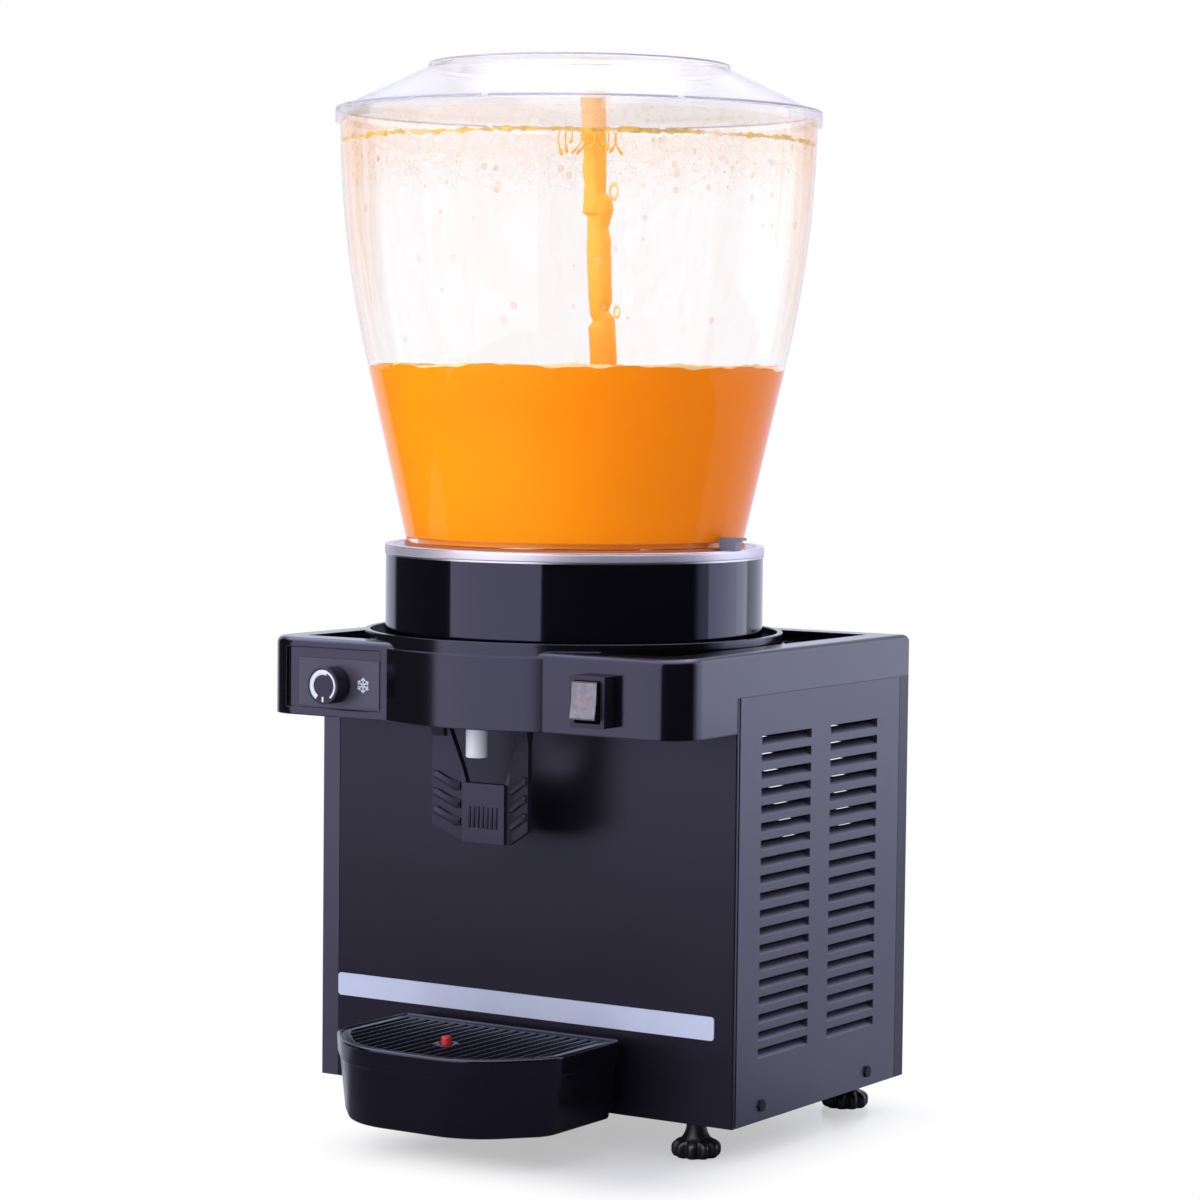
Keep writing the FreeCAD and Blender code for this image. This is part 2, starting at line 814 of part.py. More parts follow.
def make_switch_body():
    """Bezel that stands off the pod, and the switch case behind it."""
    body = new_body("switch_body")
    x, z = switch_x, switch_middle()
    w, h = s.bezel_width / 2, s.bezel_height / 2
    pad(body, "bezel", "XZ", pod_front, pod_front - s.bezel_depth, rectangle(x - w, x + w, z - h, z + h))
    pad(body, "case", "XZ", pod_front, pod_front + s.switch_body_depth,
        rectangle(x - w + 2, x + w - 2, z - h + 2, z + h - 2))
    w, h = s.rocker_width / 2 + s.slip, s.rocker_height / 2 + 1.2
    pocket(body, "mouth", "XZ", pod_front - s.bezel_depth, pod_front + 5,
           rectangle(x - w, x + w, z - h, z + h))
    pad(body, "pin", "YZ", x - w, x + w, circle(rocker_pivot(), z, s.switch_pin))
    return body


def make_rocker():
    """Rocker with a dished face; its back is round about the pivot."""
    body = new_body("switch_rocker")
    h = s.rocker_height / 2
    lift = s.rocker_depth
    profile = [(h * 0.6, -3), (h, 2), (h, lift - 0.8), (h - 0.8, lift), (0, lift - s.rocker_dish),
               (-h + 0.8, lift), (-h, lift - 0.8), (-h, 2), (-h * 0.6, -3)]
    pad(body, "rocker", "YZ", 0, s.rocker_width, profile, middle=True)
    pocket(body, "pivot_bore", "YZ", 0, s.rocker_width + 2, circle(0, 0, s.switch_pin + 0.1), middle=True)
    turn = FreeCAD.Rotation(FreeCAD.Vector(1, 0, 0), 90 - 6)
    body.Placement = FreeCAD.Placement(FreeCAD.Vector(), turn)
    place(body, switch_x, rocker_pivot(), switch_middle())
    return body


def rocker_pivot():
    return pod_front - s.bezel_depth - s.rocker_stand + s.rocker_depth


def make_front_strip():
    """Light trim strip across the front."""
    body = new_body("front_strip")
    w, z0, z1 = side - s.strip_margin, s.strip_base, s.strip_base + s.strip_height
    pad(body, "strip", "XZ", front, front - s.strip_gauge, rectangle(-w, w, z0, z1))
    fillet(body, "corners", [(x, front - 0.4, z) for x in (-w, w) for z in (z0, z1)], 2.0)
    return body


def make_tank_shroud():
    """Drum round the chilled parts."""
    body = new_body("tank_shroud")
    r = s.shroud_radius
    ring(body, "drum", r - s.shroud_wall, r, groove_floor, shroud_top)
    place(body, 0, tank_y, 0)
    return body


def make_foam_ring():
    """Foam between the coil and the drum, with a way for the tap's inlet."""
    body = new_body("tank_insulation")
    low = groove_floor + s.motor_plate_gauge + 0.5
    outer = (s.shroud_radius - s.shroud_wall - s.slip) * math.cos(math.pi / 8)
    pad(body, "foam", "XY", low, shroud_top - 0.5, octagon(outer), octagon(s.foam_inner))
    way = s.inlet_radius + 1
    pocket(body, "inlet_way", "XY", shroud_top, low - 1,
           rectangle(-way, way, -s.inlet_reach - way, -s.inlet_reach + way))
    place(body, 0, tank_y, 0)
    return body


def make_cold_plate():
    """Stainless plate with a turned-down edge, an outlet hole and the impeller's post."""
    body = new_body("cold_plate")
    r, t = s.plate_radius, s.plate_gauge
    revolve(body, "dish", [
        (0, plate_under), (r - t, plate_under), (r - t, shroud_top), (r, shroud_top), (r, plate_top),
        (0, plate_top),
    ])
    pad(body, "post", "XY", plate_top, plate_top + s.impeller_height,
        circle(0, s.pump_setback, s.post_radius))
    pocket(body, "outlet", "XY", plate_top + 1, plate_under - 1, circle(0, -s.inlet_reach, s.inlet_bore))
    place(body, 0, tank_y, 0)
    return body


def make_coil():
    """Evaporator coil under the plate, as the flat ring that its turns fill."""
    body = new_body("evaporator_coil")
    ring(body, "turns", s.coil_inner, s.coil_outer, plate_under - s.coil_height, plate_under)
    place(body, 0, tank_y, 0)
    return body


def make_gasket():
    body = new_body("bowl_gasket")
    ring(body, "seal", s.gasket_inner, s.gasket_outer, plate_top, plate_top + s.gasket_height)
    place(body, 0, tank_y, 0)
    return body


def make_bowl():
    """Blown bowl without a floor: straight flare, then one long curve to an upright rim."""
    body = new_body("bowl")
    foot, belly, rim, wall = s.bowl_foot_radius, s.bowl_belly_radius, s.bowl_rim_radius, s.bowl_wall
    waist = bowl_base + s.bowl_belly_height
    shelf = foot - s.bowl_foot_width
    revolve(body, "wall", [
        (shelf, bowl_base), (foot, bowl_base), (belly, waist, s.bowl_curve, 1), (rim, bowl_rim),
        (rim - wall, bowl_rim, s.bowl_curve, -1), (belly - wall, waist),
        (foot - wall + 0.8, bowl_base + 3.5), (shelf, bowl_base + 3.5),
    ])
    place(body, 0, tank_y, 0)
    return body


def make_lugs():
    """Two lugs at the bowl's foot, each with a lip to lift by."""
    pieces = []
    low = plate_top + 0.4
    slope = (s.bowl_belly_radius - s.bowl_foot_radius) / s.bowl_belly_height
    start = s.bowl_foot_radius + slope * s.lug_height + s.slip
    for name, sign in (("right", 1), ("left", -1)):
        reach = [(start, start + s.lug_reach), (start, start + s.lug_reach + s.lug_lip)]
        if sign < 0:
            reach = [(-end, -begin) for begin, end in reach]
        y = (tank_y - s.lug_width / 2, tank_y + s.lug_width / 2)
        block = box(f"lug_{name}_block", reach[0], y, (low, low + s.lug_height))
        lip = box(f"lug_{name}_lip", reach[1], y, (low + s.lug_height - 1.6, low + s.lug_height))
        pieces.append(fuse(f"lug_{name}", block, lip))
    pair = document.addObject("Part::Compound", "bowl_lugs")
    pair.Links = pieces
    return pair


def make_lid():
    """Vacuum-formed lid: skirt, sloping roof and a raised disc."""
    body = new_body("lid")
    r, wall = lid_radius, s.lid_wall
    seat = bowl_rim + s.slip
    brim = lid_base + s.lid_skirt
    shoulder = brim + 3.5
    disc = s.lid_disc_radius
    top = bowl_rim + 3 + s.lid_rise
    brow = r - s.lid_brim
    revolve(body, "shell", [
        (r - wall, lid_base), (r, lid_base), (r, brim + 0.8), (brow, shoulder),
        (disc, top - s.lid_disc_step), (disc, top), (0, top), (0, top - wall), (disc - wall, top - wall),
        (disc - wall, top - s.lid_disc_step - wall * 0.9), (brow - 1.5, seat), (r - wall, seat),
    ])
    place(body, 0, tank_y, 0)
    return body


def make_pump_cover():
    """Pump cover on the plate with suction windows round its foot and a spray nozzle on top."""
    body = new_body("pump_cover")
    r, wall, low = s.pump_radius, s.pump_wall, plate_top
    roof = plate_top + s.pump_height
    tip = plate_top + s.nozzle_height
    nozzle, bore = s.nozzle_radius, s.nozzle_bore
    revolve(body, "cover", [
        (r - wall, low), (r, low), (r, roof), (nozzle, roof), (nozzle, tip), (bore, tip),
        (bore, roof - wall), (r - wall, roof - wall),
    ])
    window = pocket(body, "window", "XZ", -r - 1, -r + wall + 1, rectangle(-5, 5, low - 1, low + 4))
    spin(body, "windows", [window], 6)
    place(body, 0, pump_y, 0)
    return body


def make_impeller():
    """Magnet disc with six straight vanes, running on the plate's post."""
    body = new_body("impeller")
    low = plate_top + 0.6
    r, bore = s.impeller_radius, s.post_radius + 0.25
    ring(body, "disc", bore, r, low, low + 3)
    pad(body, "hub", "XY", low + 3, low + s.impeller_height - 1, hexagon(0, 0, 4.6), circle(0, 0, bore))
    vane = pad(body, "vane", "XY", low + 3, low + s.impeller_height - 2, rectangle(4.2, r - 0.5, -0.75, 0.75))
    spin(body, "vanes", [vane], 6)
    place(body, 0, pump_y, 0)
    return body


def make_drive_magnet():
    """Magnet disc on the motor's shaft, close under the plate."""
    body = new_body("drive_magnet")
    top = plate_under - 0.6
    low = top - s.magnet_height
    revolve(body, "rotor", [
        (0, motor_top() - 14), (3, motor_top() - 14), (3, low), (s.magnet_radius, low),
        (s.magnet_radius, top), (0, top),
    ])
    place(body, 0, pump_y, 0)
    return body


def motor_top():
    return plate_under - 0.6 - s.magnet_height - 8


def motor_seat():
    return groove_floor + s.motor_plate_gauge


def make_pump_motor():
    """Motor hung in the motor plate by its flange."""
    body = new_body("pump_motor")
    top, seat = motor_top(), motor_seat()
    flange = s.motor_flange_radius
    half = s.motor_radius * 0.85
    pad(body, "case", "XY", top - s.motor_height, top, rectangle(-half, half, -half, half))
    pad(body, "flange", "XY", seat, seat + 3, rectangle(-flange, flange, -flange, flange))
    pocket(body, "shaft_bore", "XY", top + 1, top - 16, circle(0, 0, 3.1))
    place(body, 0, pump_y, 0)
    return body


def make_motor_plate():
    """Pressed steel plate that lies on the housing inside the drum and carries the pump motor."""
    body = new_body("motor_plate")
    way = s.inlet_radius + 0.6
    hole = s.motor_radius * 0.85 + 0.5
    x, y = suction_x(), suction_y() - tank_y
    pad(body, "plate", "XY", groove_floor, motor_seat(), octagon(s.motor_plate_radius * math.cos(math.pi / 8)),
        rectangle(-hole, hole, s.pump_setback - hole, s.pump_setback + hole),
        rectangle(-way, way, -s.inlet_reach - way, -s.inlet_reach + way), rectangle(x - 6, x + 6, y - 6, y + 6))
    place(body, 0, tank_y, 0)
    return body


def make_tap_body():
    """Tap under the collar: inlet pipe, valve chamber, bridge with ears for the lever's pin."""
    low = overhang + 0.5
    top = low + s.chamber_height
    ear = s.pin_length / 2
    bridge_z = (collar_ceiling - 5, collar_ceiling)
    ear_y = (pivot_y - 3.5, pivot_y + 4)
    solids = [
        box("tap_bridge", (-ear, ear), (pivot_y - 3.5, inlet_y - 4), bridge_z),
        box("tap_ear_left", (-ear, -ear + 3.5), ear_y, (pivot_z - 5, bridge_z[1])),
        box("tap_ear_right", (ear - 3.5, ear), ear_y, (pivot_z - 5, bridge_z[1])),
        box("tap_pillar_left", (-15.5, -11), (spout_y - 5.9, spout_y + 7), (low + 1.5, bridge_z[1])),
        box("tap_pillar_right", (11, 15.5), (spout_y - 5.9, spout_y + 7), (low + 1.5, bridge_z[1])),
        box("tap_web", (-15.5, 15.5), (spout_y - 5.4, spout_y + 6), (low + 1.5, top - 1)),
        box("tap_chamber", (-s.chamber_radius, s.chamber_radius),
            (spout_y - s.chamber_radius, spout_y + s.chamber_radius), (low, top)),
        box("tap_inlet", (-s.inlet_radius, s.inlet_radius),
            (inlet_y - s.inlet_radius, inlet_y + s.inlet_radius), (low + 2.5, plate_under)),
    ]
    bores = [
        rod("tap_chamber_bore", s.chamber_bore, "Z", low - 1, top - 2, y=spout_y),
        rod("tap_gland", s.plunger_stem + 0.25, "Z", top - 3, top + 1, y=spout_y),
        rod("tap_spring_hole", s.chamber_bore, "Z", bridge_z[0] - 1, bridge_z[1] + 1, y=spout_y),
        rod("tap_inlet_bore", s.inlet_bore, "Z", low + 6, plate_under + 1, y=inlet_y),
        rod("tap_cross_bore", 3.0, "Y", spout_y, inlet_y, z=low + 9),
        rod("tap_pin_bore", s.pin_radius, "X", -ear - 1, ear + 1, y=pivot_y, z=pivot_z),
    ]
    return cut("tap_body", fuse("tap_moulding", *solids), *bores)


def make_spout():
    """White spout pressed into the valve chamber; its upper end is the valve seat."""
    body = new_body("spout")
    top = overhang + 0.2
    tip = overhang - s.spout_drop
    r, bore = s.spout_radius, s.spout_bore
    revolve(body, "tube", [
        (bore, tip), (r, tip), (r, top), (s.chamber_bore - 0.05, top),
        (s.chamber_bore - 0.05, overhang + 4), (bore, overhang + 4),
    ])
    place(body, 0, spout_y, 0)
    return body


def plunger_knob_base():
    return pivot_z + 2.6 + s.tongue_gauge + 0.2


def make_plunger():
    """Valve plunger: seal, stem and the knob that the lever lifts."""
    body = new_body("tap_plunger")
    seat = overhang + 4 + s.slip
    stem = s.plunger_stem
    collar = plunger_knob_base()
    revolve(body, "turning", [
        (0, seat), (s.chamber_bore - 0.5, seat), (s.chamber_bore - 0.5, seat + 3.5), (stem, seat + 3.5),
        (stem, collar), (s.plunger_knob, collar), (s.plunger_knob, collar + 3), (stem, collar + 3),
        (stem, collar + 8), (0, collar + 8),
    ])
    place(body, 0, spout_y, 0)
    return body


def make_spring():
    """Return spring of the plunger, as the sleeve that its coils fill."""
    body = new_body("tap_spring")
    ring(body, "coils", s.plunger_stem + 0.7, s.plunger_knob - 0.2, plunger_knob_base() + 3.1, collar_ceiling - 0.1)
    place(body, 0, spout_y, 0)
    return body


def make_lever_pin():
    ear = s.pin_length / 2
    return rod("lever_pin", s.pin_radius, "X", -ear, ear, y=pivot_y, z=pivot_z)


def lever_front(x):
    """Y of the front of a lever wing, which sweeps forwards from its root to its outer edge."""
    wing_root = s.grip_width / 2 + 1.8
    return lever_plane() - (x - wing_root) / (s.lever_width / 2 - wing_root) * s.lever_sweep


def lever_plane():
    return spout_y + 9.3


def make_tap_lever():
    """Push lever: grip block, two ribbed wings swept forwards, arms up to a hub, tongue under the knob."""
    low = overhang - s.lever_drop
    half, grip = s.lever_width / 2, s.grip_width / 2
    plane, sweep, wall = lever_plane(), s.lever_sweep, s.lever_wall
    inner = grip + 1.8
    body = new_body("lever_plate")
    pad(body, "wings", "XY", low, overhang + 4, [
        (-half, plane - sweep), (-inner, plane), (inner, plane), (half, plane - sweep),
        (half, plane - sweep + wall), (inner, plane + wall), (-inner, plane + wall),
        (-half, plane - sweep + wall),
    ])
    pad(body, "grip", "XY", low, low + s.grip_height, rectangle(-grip, grip, plane - s.grip_stand, plane + 1))
    notch, foot = s.notch_top / 2, grip - 1.2
    brim = low + s.grip_height
    mouth = brim + s.notch_height
    back, ahead = plane + wall + 2, plane - sweep - 4
    pocket(body, "notch", "XZ", ahead, back, [
        (-foot, brim), (foot, brim), (notch, mouth), (notch, overhang + 5), (-notch, overhang + 5),
        (-notch, mouth),
    ])
    chamfer = s.lever_chamfer
    pocket(body, "foot_right", "XZ", ahead, back, [(grip, low - 1), (half + 1, low - 1), (half + 1, low + chamfer)])
    pocket(body, "foot_left", "XZ", ahead, back, [(-grip, low - 1), (-half - 1, low + chamfer), (-half - 1, low - 1)])
    inside = half - 8.5
    arms = []
    for name, x0 in (("right", inside), ("left", -half)):
        arm = new_body(f"lever_arm_{name}")
        pad(arm, "arm", "YZ", x0, x0 + 8.5, [
            (plane - sweep, overhang - 8), (plane - sweep + wall, overhang - 8),
            (plane + 0.5, overhang + 2), (pivot_y + 3.4, pivot_z + 2), (pivot_y - 3.4, pivot_z - 2),
            (plane - sweep - 1.5, overhang - 2),
        ])
        arms.append(arm)
    hub = rod("lever_hub", s.hub_radius, "X", -half, half, y=pivot_y, z=pivot_z)
    tongue = box("lever_tongue", (-8.5, 8.5), (pivot_y, spout_y + 4.6),
                 (pivot_z + 2.6, pivot_z + 2.6 + s.tongue_gauge))
    slot = box("lever_slot", (-s.plunger_stem - 0.9, s.plunger_stem + 0.9), (spout_y - 4.4, spout_y + 6),
               (pivot_z + 2, pivot_z + 7))
    bore = rod("lever_bore", s.pin_radius + 0.1, "X", -half - 1, half + 1, y=pivot_y, z=pivot_z)
    ribs = [make_rib(f"lever_rib_{row}_{sign}", row, sign) for row in range(3) for sign in (-1, 1)]
    return cut("tap_lever", fuse("lever_moulding", body, *arms, hub, tongue, *ribs), slot, bore)


def make_rib(name, row, sign):
    """Slanted rib on a wing: a band along the wing's front, kept inside one slanted bar."""
    half, inner = s.lever_width / 2 - 1, s.grip_width / 2 + 2.2
    low = overhang - s.lever_drop + 9 + row * 10.3
    rise = 6.9
    band = new_body(name + "_band")
    stand = s.rib_stand
    pad(band, "band", "XY", low - 2, low + rise + 6, [
        (sign * inner, lever_front(inner) - stand), (sign * half, lever_front(half) - stand),
        (sign * half, lever_front(half) + 1), (sign * inner, lever_front(inner) + 1),
    ])
    bar = new_body(name + "_bar")
    thick = s.rib_height
    pad(bar, "bar", "XZ", lever_plane() - s.lever_sweep - 4, lever_plane() + 2, [
        (sign * inner, low), (sign * half, low + rise), (sign * half, low + rise + thick),
        (sign * inner, low + thick),
    ])
    common = document.addObject("Part::Common", name)
    common.Base = band
    common.Tool = bar
    return common


def tray_plan(inset):
    """Tray outline: straight back, sides and front, with a slanted run between each side and the front."""
    x = s.tray_width / 2 - inset
    back = front - s.tray_gap - inset
    shoulder = front - s.tray_gap - s.tray_side
    nose = front - s.tray_gap - s.tray_depth + inset
    half = s.tray_front / 2 - inset * 0.4
    return [(-x, back), (-x, shoulder), (-half, nose), (half, nose), (x, shoulder), (x, back)]


def round_tray(body, name, inset, level, radius):
    """Rounds the four front corners of an outline at one level."""
    corners = tray_plan(inset)[1:5]
    fillet(body, name, [(x, y, level) for x, y in corners], radius)


def make_drip_tray():
    """Tray with an outstanding band, drafted lower wall, and tunnels underneath for the bracket's arms."""
    body = new_body("drip_tray")
    step = s.tray_top - s.tray_band
    pad(body, "band", "XY", step, s.tray_top, tray_plan(0))
    round_tray(body, "band_corners", 0, step + 1, s.tray_corner)
    pad(body, "lower", "XY", step, floor, tray_plan(s.tray_step), taper=-s.tray_draft)
    document.recompute()
    slanted = edges_between(body.Tip.Shape, floor, step, front - s.tray_gap - 5)
    fillet(body, "lower_corners", [], s.tray_corner - s.tray_step, slanted)
    ledge = s.tray_top - s.grille_recess - s.grille_gauge
    pocket(body, "grille_seat", "XY", s.tray_top, ledge, tray_plan(s.tray_wall - 0.5))
    round_tray(body, "seat_corners", s.tray_wall - 0.5, s.tray_top - 1, s.tray_corner - s.tray_wall)
    pocket(body, "basin", "XY", ledge, s.tray_floor, tray_plan(s.tray_step + s.tray_wall), taper=-s.tray_draft)
    reach = s.arm_spread + s.arm_width / 2 + 4
    back = front - s.tray_gap
    pocket(body, "tunnel", "XY", floor - 1, s.tray_floor - 2.7,
           rectangle(-reach, reach, back - s.tray_side - 3, back + 3))
    return body


def make_grille():
    """Slotted grille that drops into the tray, with a ring for the float."""
    body = new_body("drip_grille")
    low = s.tray_top - s.grille_recess - s.grille_gauge + 0.2
    top = low + s.grille_gauge - 0.2
    pad(body, "plate", "XY", low, top, tray_plan(s.tray_wall))
    run = s.slot_pitch * (s.slot_count - 1)
    back = front - s.tray_gap - s.tray_wall - 3
    nose = front - s.tray_gap - s.tray_depth + s.tray_wall - 1
    slot = pocket(body, "slot", "XY", top, low - 1,
                  rectangle(-run / 2 - s.slot_width / 2, -run / 2 + s.slot_width / 2, nose, back))
    spread(body, "slots", [slot], "X", run, s.slot_count)
    pad(body, "border", "XY", low, top, tray_plan(s.tray_wall), tray_plan(s.tray_wall + s.grille_border))
    round_tray(body, "plate_corners", s.tray_wall, low + 1, s.tray_corner - s.tray_wall)
    y = front - s.float_setback
    pad(body, "float_ring", "XY", low, top, circle(0, y, s.float_radius + 4))
    pocket(body, "float_hole", "XY", top + 1, low - 1, circle(0, y, s.float_radius + 0.6))
    return body


def make_float():
    """Red level float: disc under the grille and a pin that rises through it as the tray fills."""
    body = new_body("level_float")
    low = s.tray_floor + 0.4
    top = s.tray_top + 4.5
    r = s.float_radius
    revolve(body, "float", [
        (0, low), (9, low), (9, low + 6), (r, low + 6), (r, top), (0, top),
    ])
    place(body, 0, front - s.float_setback, 0)
    return body


def make_tray_bracket():
    """Bracket screwed to the front panel: back plate and two arms that the tray slides onto."""
    w, t = s.arm_width / 2, s.arm_gauge
    top = s.tray_floor - 2.7 - 0.3
    reach = front - s.tray_gap - s.tray_side
    plate = box("bracket_plate", (-s.arm_spread - w - 6, s.arm_spread + w + 6),
                (front - s.bracket_gauge, front), (floor + 3, floor + 36))
    arms = [
        box(f"bracket_arm_{name}", (x - w, x + w), (reach, front - s.bracket_gauge + 0.5), (top - t, top))
        for name, x in (("left", -s.arm_spread), ("right", s.arm_spread))
    ]
    return fuse("tray_bracket", plate, *arms)


def make_foot(name, x, y):
    """Levelling foot: lobed hand knob, and a stud up through the pan's weld nut."""
    body = new_body(name)
    lobes = round(float(s.foot_lobes))
    rim = []
    for index in range(lobes):
        for reach, share in ((1.0, 0.0), (1.0, 0.55), (0.88, 0.7), (0.88, 0.85)):
            angle = 2 * math.pi * (index + share) / lobes
            rim.append((s.foot_radius * (reach * math.cos(angle)), s.foot_radius * (reach * math.sin(angle))))
    pad(body, "knob", "XY", 0, s.foot_height, rim)
    neck = s.foot_height + s.foot_flare
    pad(body, "neck", "XY", s.foot_height, neck, circle(0, 0, s.foot_stud + s.foot_flare), taper=-45)
    pad(body, "stud", "XY", neck, floor + 14, circle(0, 0, s.foot_stud))
    place(body, x, y, 0)
    return body


def make_compressor():
    """Hermetic compressor: welded shell with a rolled seam on a foot plate."""
    body = new_body("compressor")
    w, d = s.compressor_width / 2, s.compressor_depth / 2
    low = floor + s.pan_gauge + s.mount_height
    top = low + s.compressor_height
    plan = rectangle(-w, w, -d, d)
    pad(body, "shell", "XY", low + 3, top, plan)
    fillet(body, "round_ends", [(x, y, low + 20) for x in (-w, w) for y in (-d, d)], w * 0.9)
    seam_z = low + s.compressor_height * 0.55
    pad(body, "seam", "XY", seam_z, seam_z + 4, [
        (-w - 3, -d * 0.5), (-w * 0.5, -d - 2), (w * 0.5, -d - 2), (w + 3, -d * 0.5),
        (w + 3, d * 0.5), (w * 0.5, d + 2), (-w * 0.5, d + 2), (-w - 3, d * 0.5),
    ])
    pad(body, "foot_plate", "XY", low, low + 3, rectangle(-w + 4, w - 4, -d + 1, d - 1))
    place(body, compressor_x, s.compressor_y, 0)
    return body


def make_compressor_mounts():
    """Four rubber mounts between the pan and the compressor's foot plate."""
    rods = []
    low = floor + s.pan_gauge
    for index, (across, along) in enumerate(((-1, -1), (1, -1), (1, 1), (-1, 1))):
        x = compressor_x + across * (s.compressor_width / 2 - 14)
        y = s.compressor_y + along * (s.compressor_depth / 2 - 10)
        rods.append(box(f"mount_{index}", (x - 8, x + 8), (y - 8, y + 8), (low, low + s.mount_height)))
    group = document.addObject("Part::Compound", "compressor_mounts")
    group.Links = rods
    return group


def make_relay():
    """Start relay and overload in a case on the compressor's front."""
    y = s.compressor_y - s.compressor_depth / 2
    low = floor + s.pan_gauge + s.mount_height + 20
    return box("start_relay", (compressor_x - 18, compressor_x + 22), (y - 16, y), (low, low + 32))


def condenser_low():
    return floor + s.pan_gauge + 6


def make_condenser():
    """Finned block between two end plates that stand on the pan."""
    body = new_body("condenser")
    w, t, tall = s.condenser_width / 2, s.condenser_gauge / 2, s.condenser_height
    low = condenser_low()
    pad(body, "core", "XY", low, low + tall, rectangle(-t, t, -w + 2, w - 2))
    slot = pocket(body, "gap", "YZ", t + 1, t - 8, rectangle(-w + 8, w - 8, low + 6, low + 11))
    spread(body, "gaps", [slot], "Z", tall - 18, 12)
    pad(body, "end_plates", "XY", floor + s.pan_gauge, low + tall + 2,
        rectangle(-t - 2, t + 2, -w, -w + 2), rectangle(-t - 2, t + 2, w - 2, w))
    place(body, condenser_x, condenser_y(), 0)
    return body


def condenser_y():
    return s.compressor_y - 16


def fan_z():
    return condenser_low() + s.condenser_height / 2


def fan_plane():
    return condenser_x - s.condenser_gauge / 2 - 2


def make_fan_shroud():
    """Plate with the fan's ring, and two straps that carry the motor."""
    w = s.condenser_width / 2
    x = fan_plane()
    y, z = condenser_y(), fan_z()
    plate = box("shroud_plate", (x - 2, x), (y - w, y + w), (floor + s.pan_gauge, z + s.condenser_height / 2))
    hole = rod("shroud_hole", s.fan_radius + 4, "X", x - 3, x + 1, y=y, z=z)
    reach = s.fan_radius + 9
    strap = box("shroud_strap", (x - 22, x - 20), (y - 8, y + 8), (z - reach, z + reach))
    low_leg = box("shroud_low_leg", (x - 22, x - 1), (y - 8, y + 8), (z - reach, z - reach + 2))
    high_leg = box("shroud_high_leg", (x - 22, x - 1), (y - 8, y + 8), (z + reach - 2, z + reach))
    seat = rod("shroud_seat", 6, "X", x - 23, x - 19, y=y, z=z)
    rim = cut("shroud_rim", plate, hole)
    return fuse("fan_shroud", rim, low_leg, high_leg, cut("shroud_strap_bored", strap, seat))


def make_fan_motor():
    """Fan motor on the strap, with its shaft towards the condenser."""
    x = fan_plane() - 22
    y, z = condenser_y(), fan_z()
    half = s.fan_motor_radius * 0.85
    case = box("fan_motor_case", (x - s.fan_motor_length, x), (y - half, y + half), (z - half, z + half))
    nose = rod("fan_motor_nose", 5.7, "X", x - 1, x + 4, y=y, z=z)
    bore = rod("fan_motor_bore", 2.2, "X", x - 8, x + 5, y=y, z=z)
    return cut("fan_motor", fuse("fan_motor_blank", case, nose), bore)


def make_fan_blade():
    """Fan wheel: hub with its shaft and five pitched blades."""
    x = fan_plane() - 11
    y, z = condenser_y(), fan_z()
    parts = [
        rod("fan_hub", 14, "X", x - 5, x + 5, y=y, z=z),
        rod("fan_shaft", 2, "X", x - 18, x - 4, y=y, z=z),
    ]
    blades = 5
    for index in range(blades):
        blade = document.addObject("Part::Box", f"fan_blade_{index}")
        bind(blade, "Length", 1.4)
        bind(blade, "Width", 34)
        bind(blade, "Height", s.fan_radius - 12)
        pitch = FreeCAD.Rotation(UP, 24)
        turn = FreeCAD.Rotation(FreeCAD.Vector(1, 0, 0), 360 / blades * index)
        whole = turn.multiply(pitch)
        start = whole.multVec(FreeCAD.Vector(-0.7, -17, 12))
        blade.Placement = FreeCAD.Placement(FreeCAD.Vector(), whole)
        place(blade, x + start.x, y + start.y, z + start.z)
        parts.append(blade)
    return fuse("fan_blade", *parts)


def make_drier():
    """Filter drier: copper can with necked ends."""
    body = new_body("filter_drier")
    r, tall = s.drier_radius, s.drier_length
    revolve(body, "can", [(0, 0), (r, 0), (r, tall), (0, tall)])
    place(body, 0, inner_rear - s.drier_radius - s.slip, floor + s.pan_gauge + 60)
    return body


def suction_x():
    return -(s.coil_inner + s.coil_outer) / 2 * 0.85


def suction_y():
    return tank_y + (s.coil_inner + s.coil_outer) / 2 * 0.5


def make_suction_line():
    """Straight down from the coil through the motor plate to the compressor's crown."""
    return rod("suction_line", s.line_radius, "Z", compressor_top, plate_under - s.coil_height,
               x=suction_x(), y=suction_y())


def make_discharge_line():
    """Up from the compressor's crown, across, and down to the condenser's end plate, bent at both corners."""
    x0, x1 = compressor_x + s.compressor_width / 2 - 26, condenser_x
    y = condenser_y() - s.condenser_width / 2 + 40
    high = compressor_top + 30
    bend, r = s.line_bend, s.line_radius
    return fuse(
        "discharge_line",
        rod("discharge_rise", r, "Z", compressor_top, high - bend, x=x0, y=y),
        elbow("discharge_first_bend", r, bend, 90, x0 + bend, y, high - bend),
        rod("discharge_run", r, "X", x0 + bend, x1 - bend, y=y, z=high),
        elbow("discharge_second_bend", r, bend, 0, x1 - bend, y, high - bend),
        rod("discharge_fall", r, "Z", condenser_low() + s.condenser_height, high - bend, x=x1, y=y),
    )


def make_gland():
    """Cable gland in the rear panel: flange outside, body and nut inside, with a bore."""
    x, z = gland_x(), gland_z()
    r = s.gland_radius
    body = new_body("cable_gland")
    pad(body, "flange", "XZ", rear, rear + 4, hexagon(x, z, r * 0.9))
    pad(body, "neck", "XZ", rear, inner_rear - 10, circle(x, z, r * 0.7 - 0.1))
    pad(body, "nut", "XZ", inner_rear - 0.1, inner_rear - 5, hexagon(x, z, r * 0.9))
    pocket(body, "bore", "XZ", rear + 5, inner_rear - 11, circle(x, z, 4))
    return body


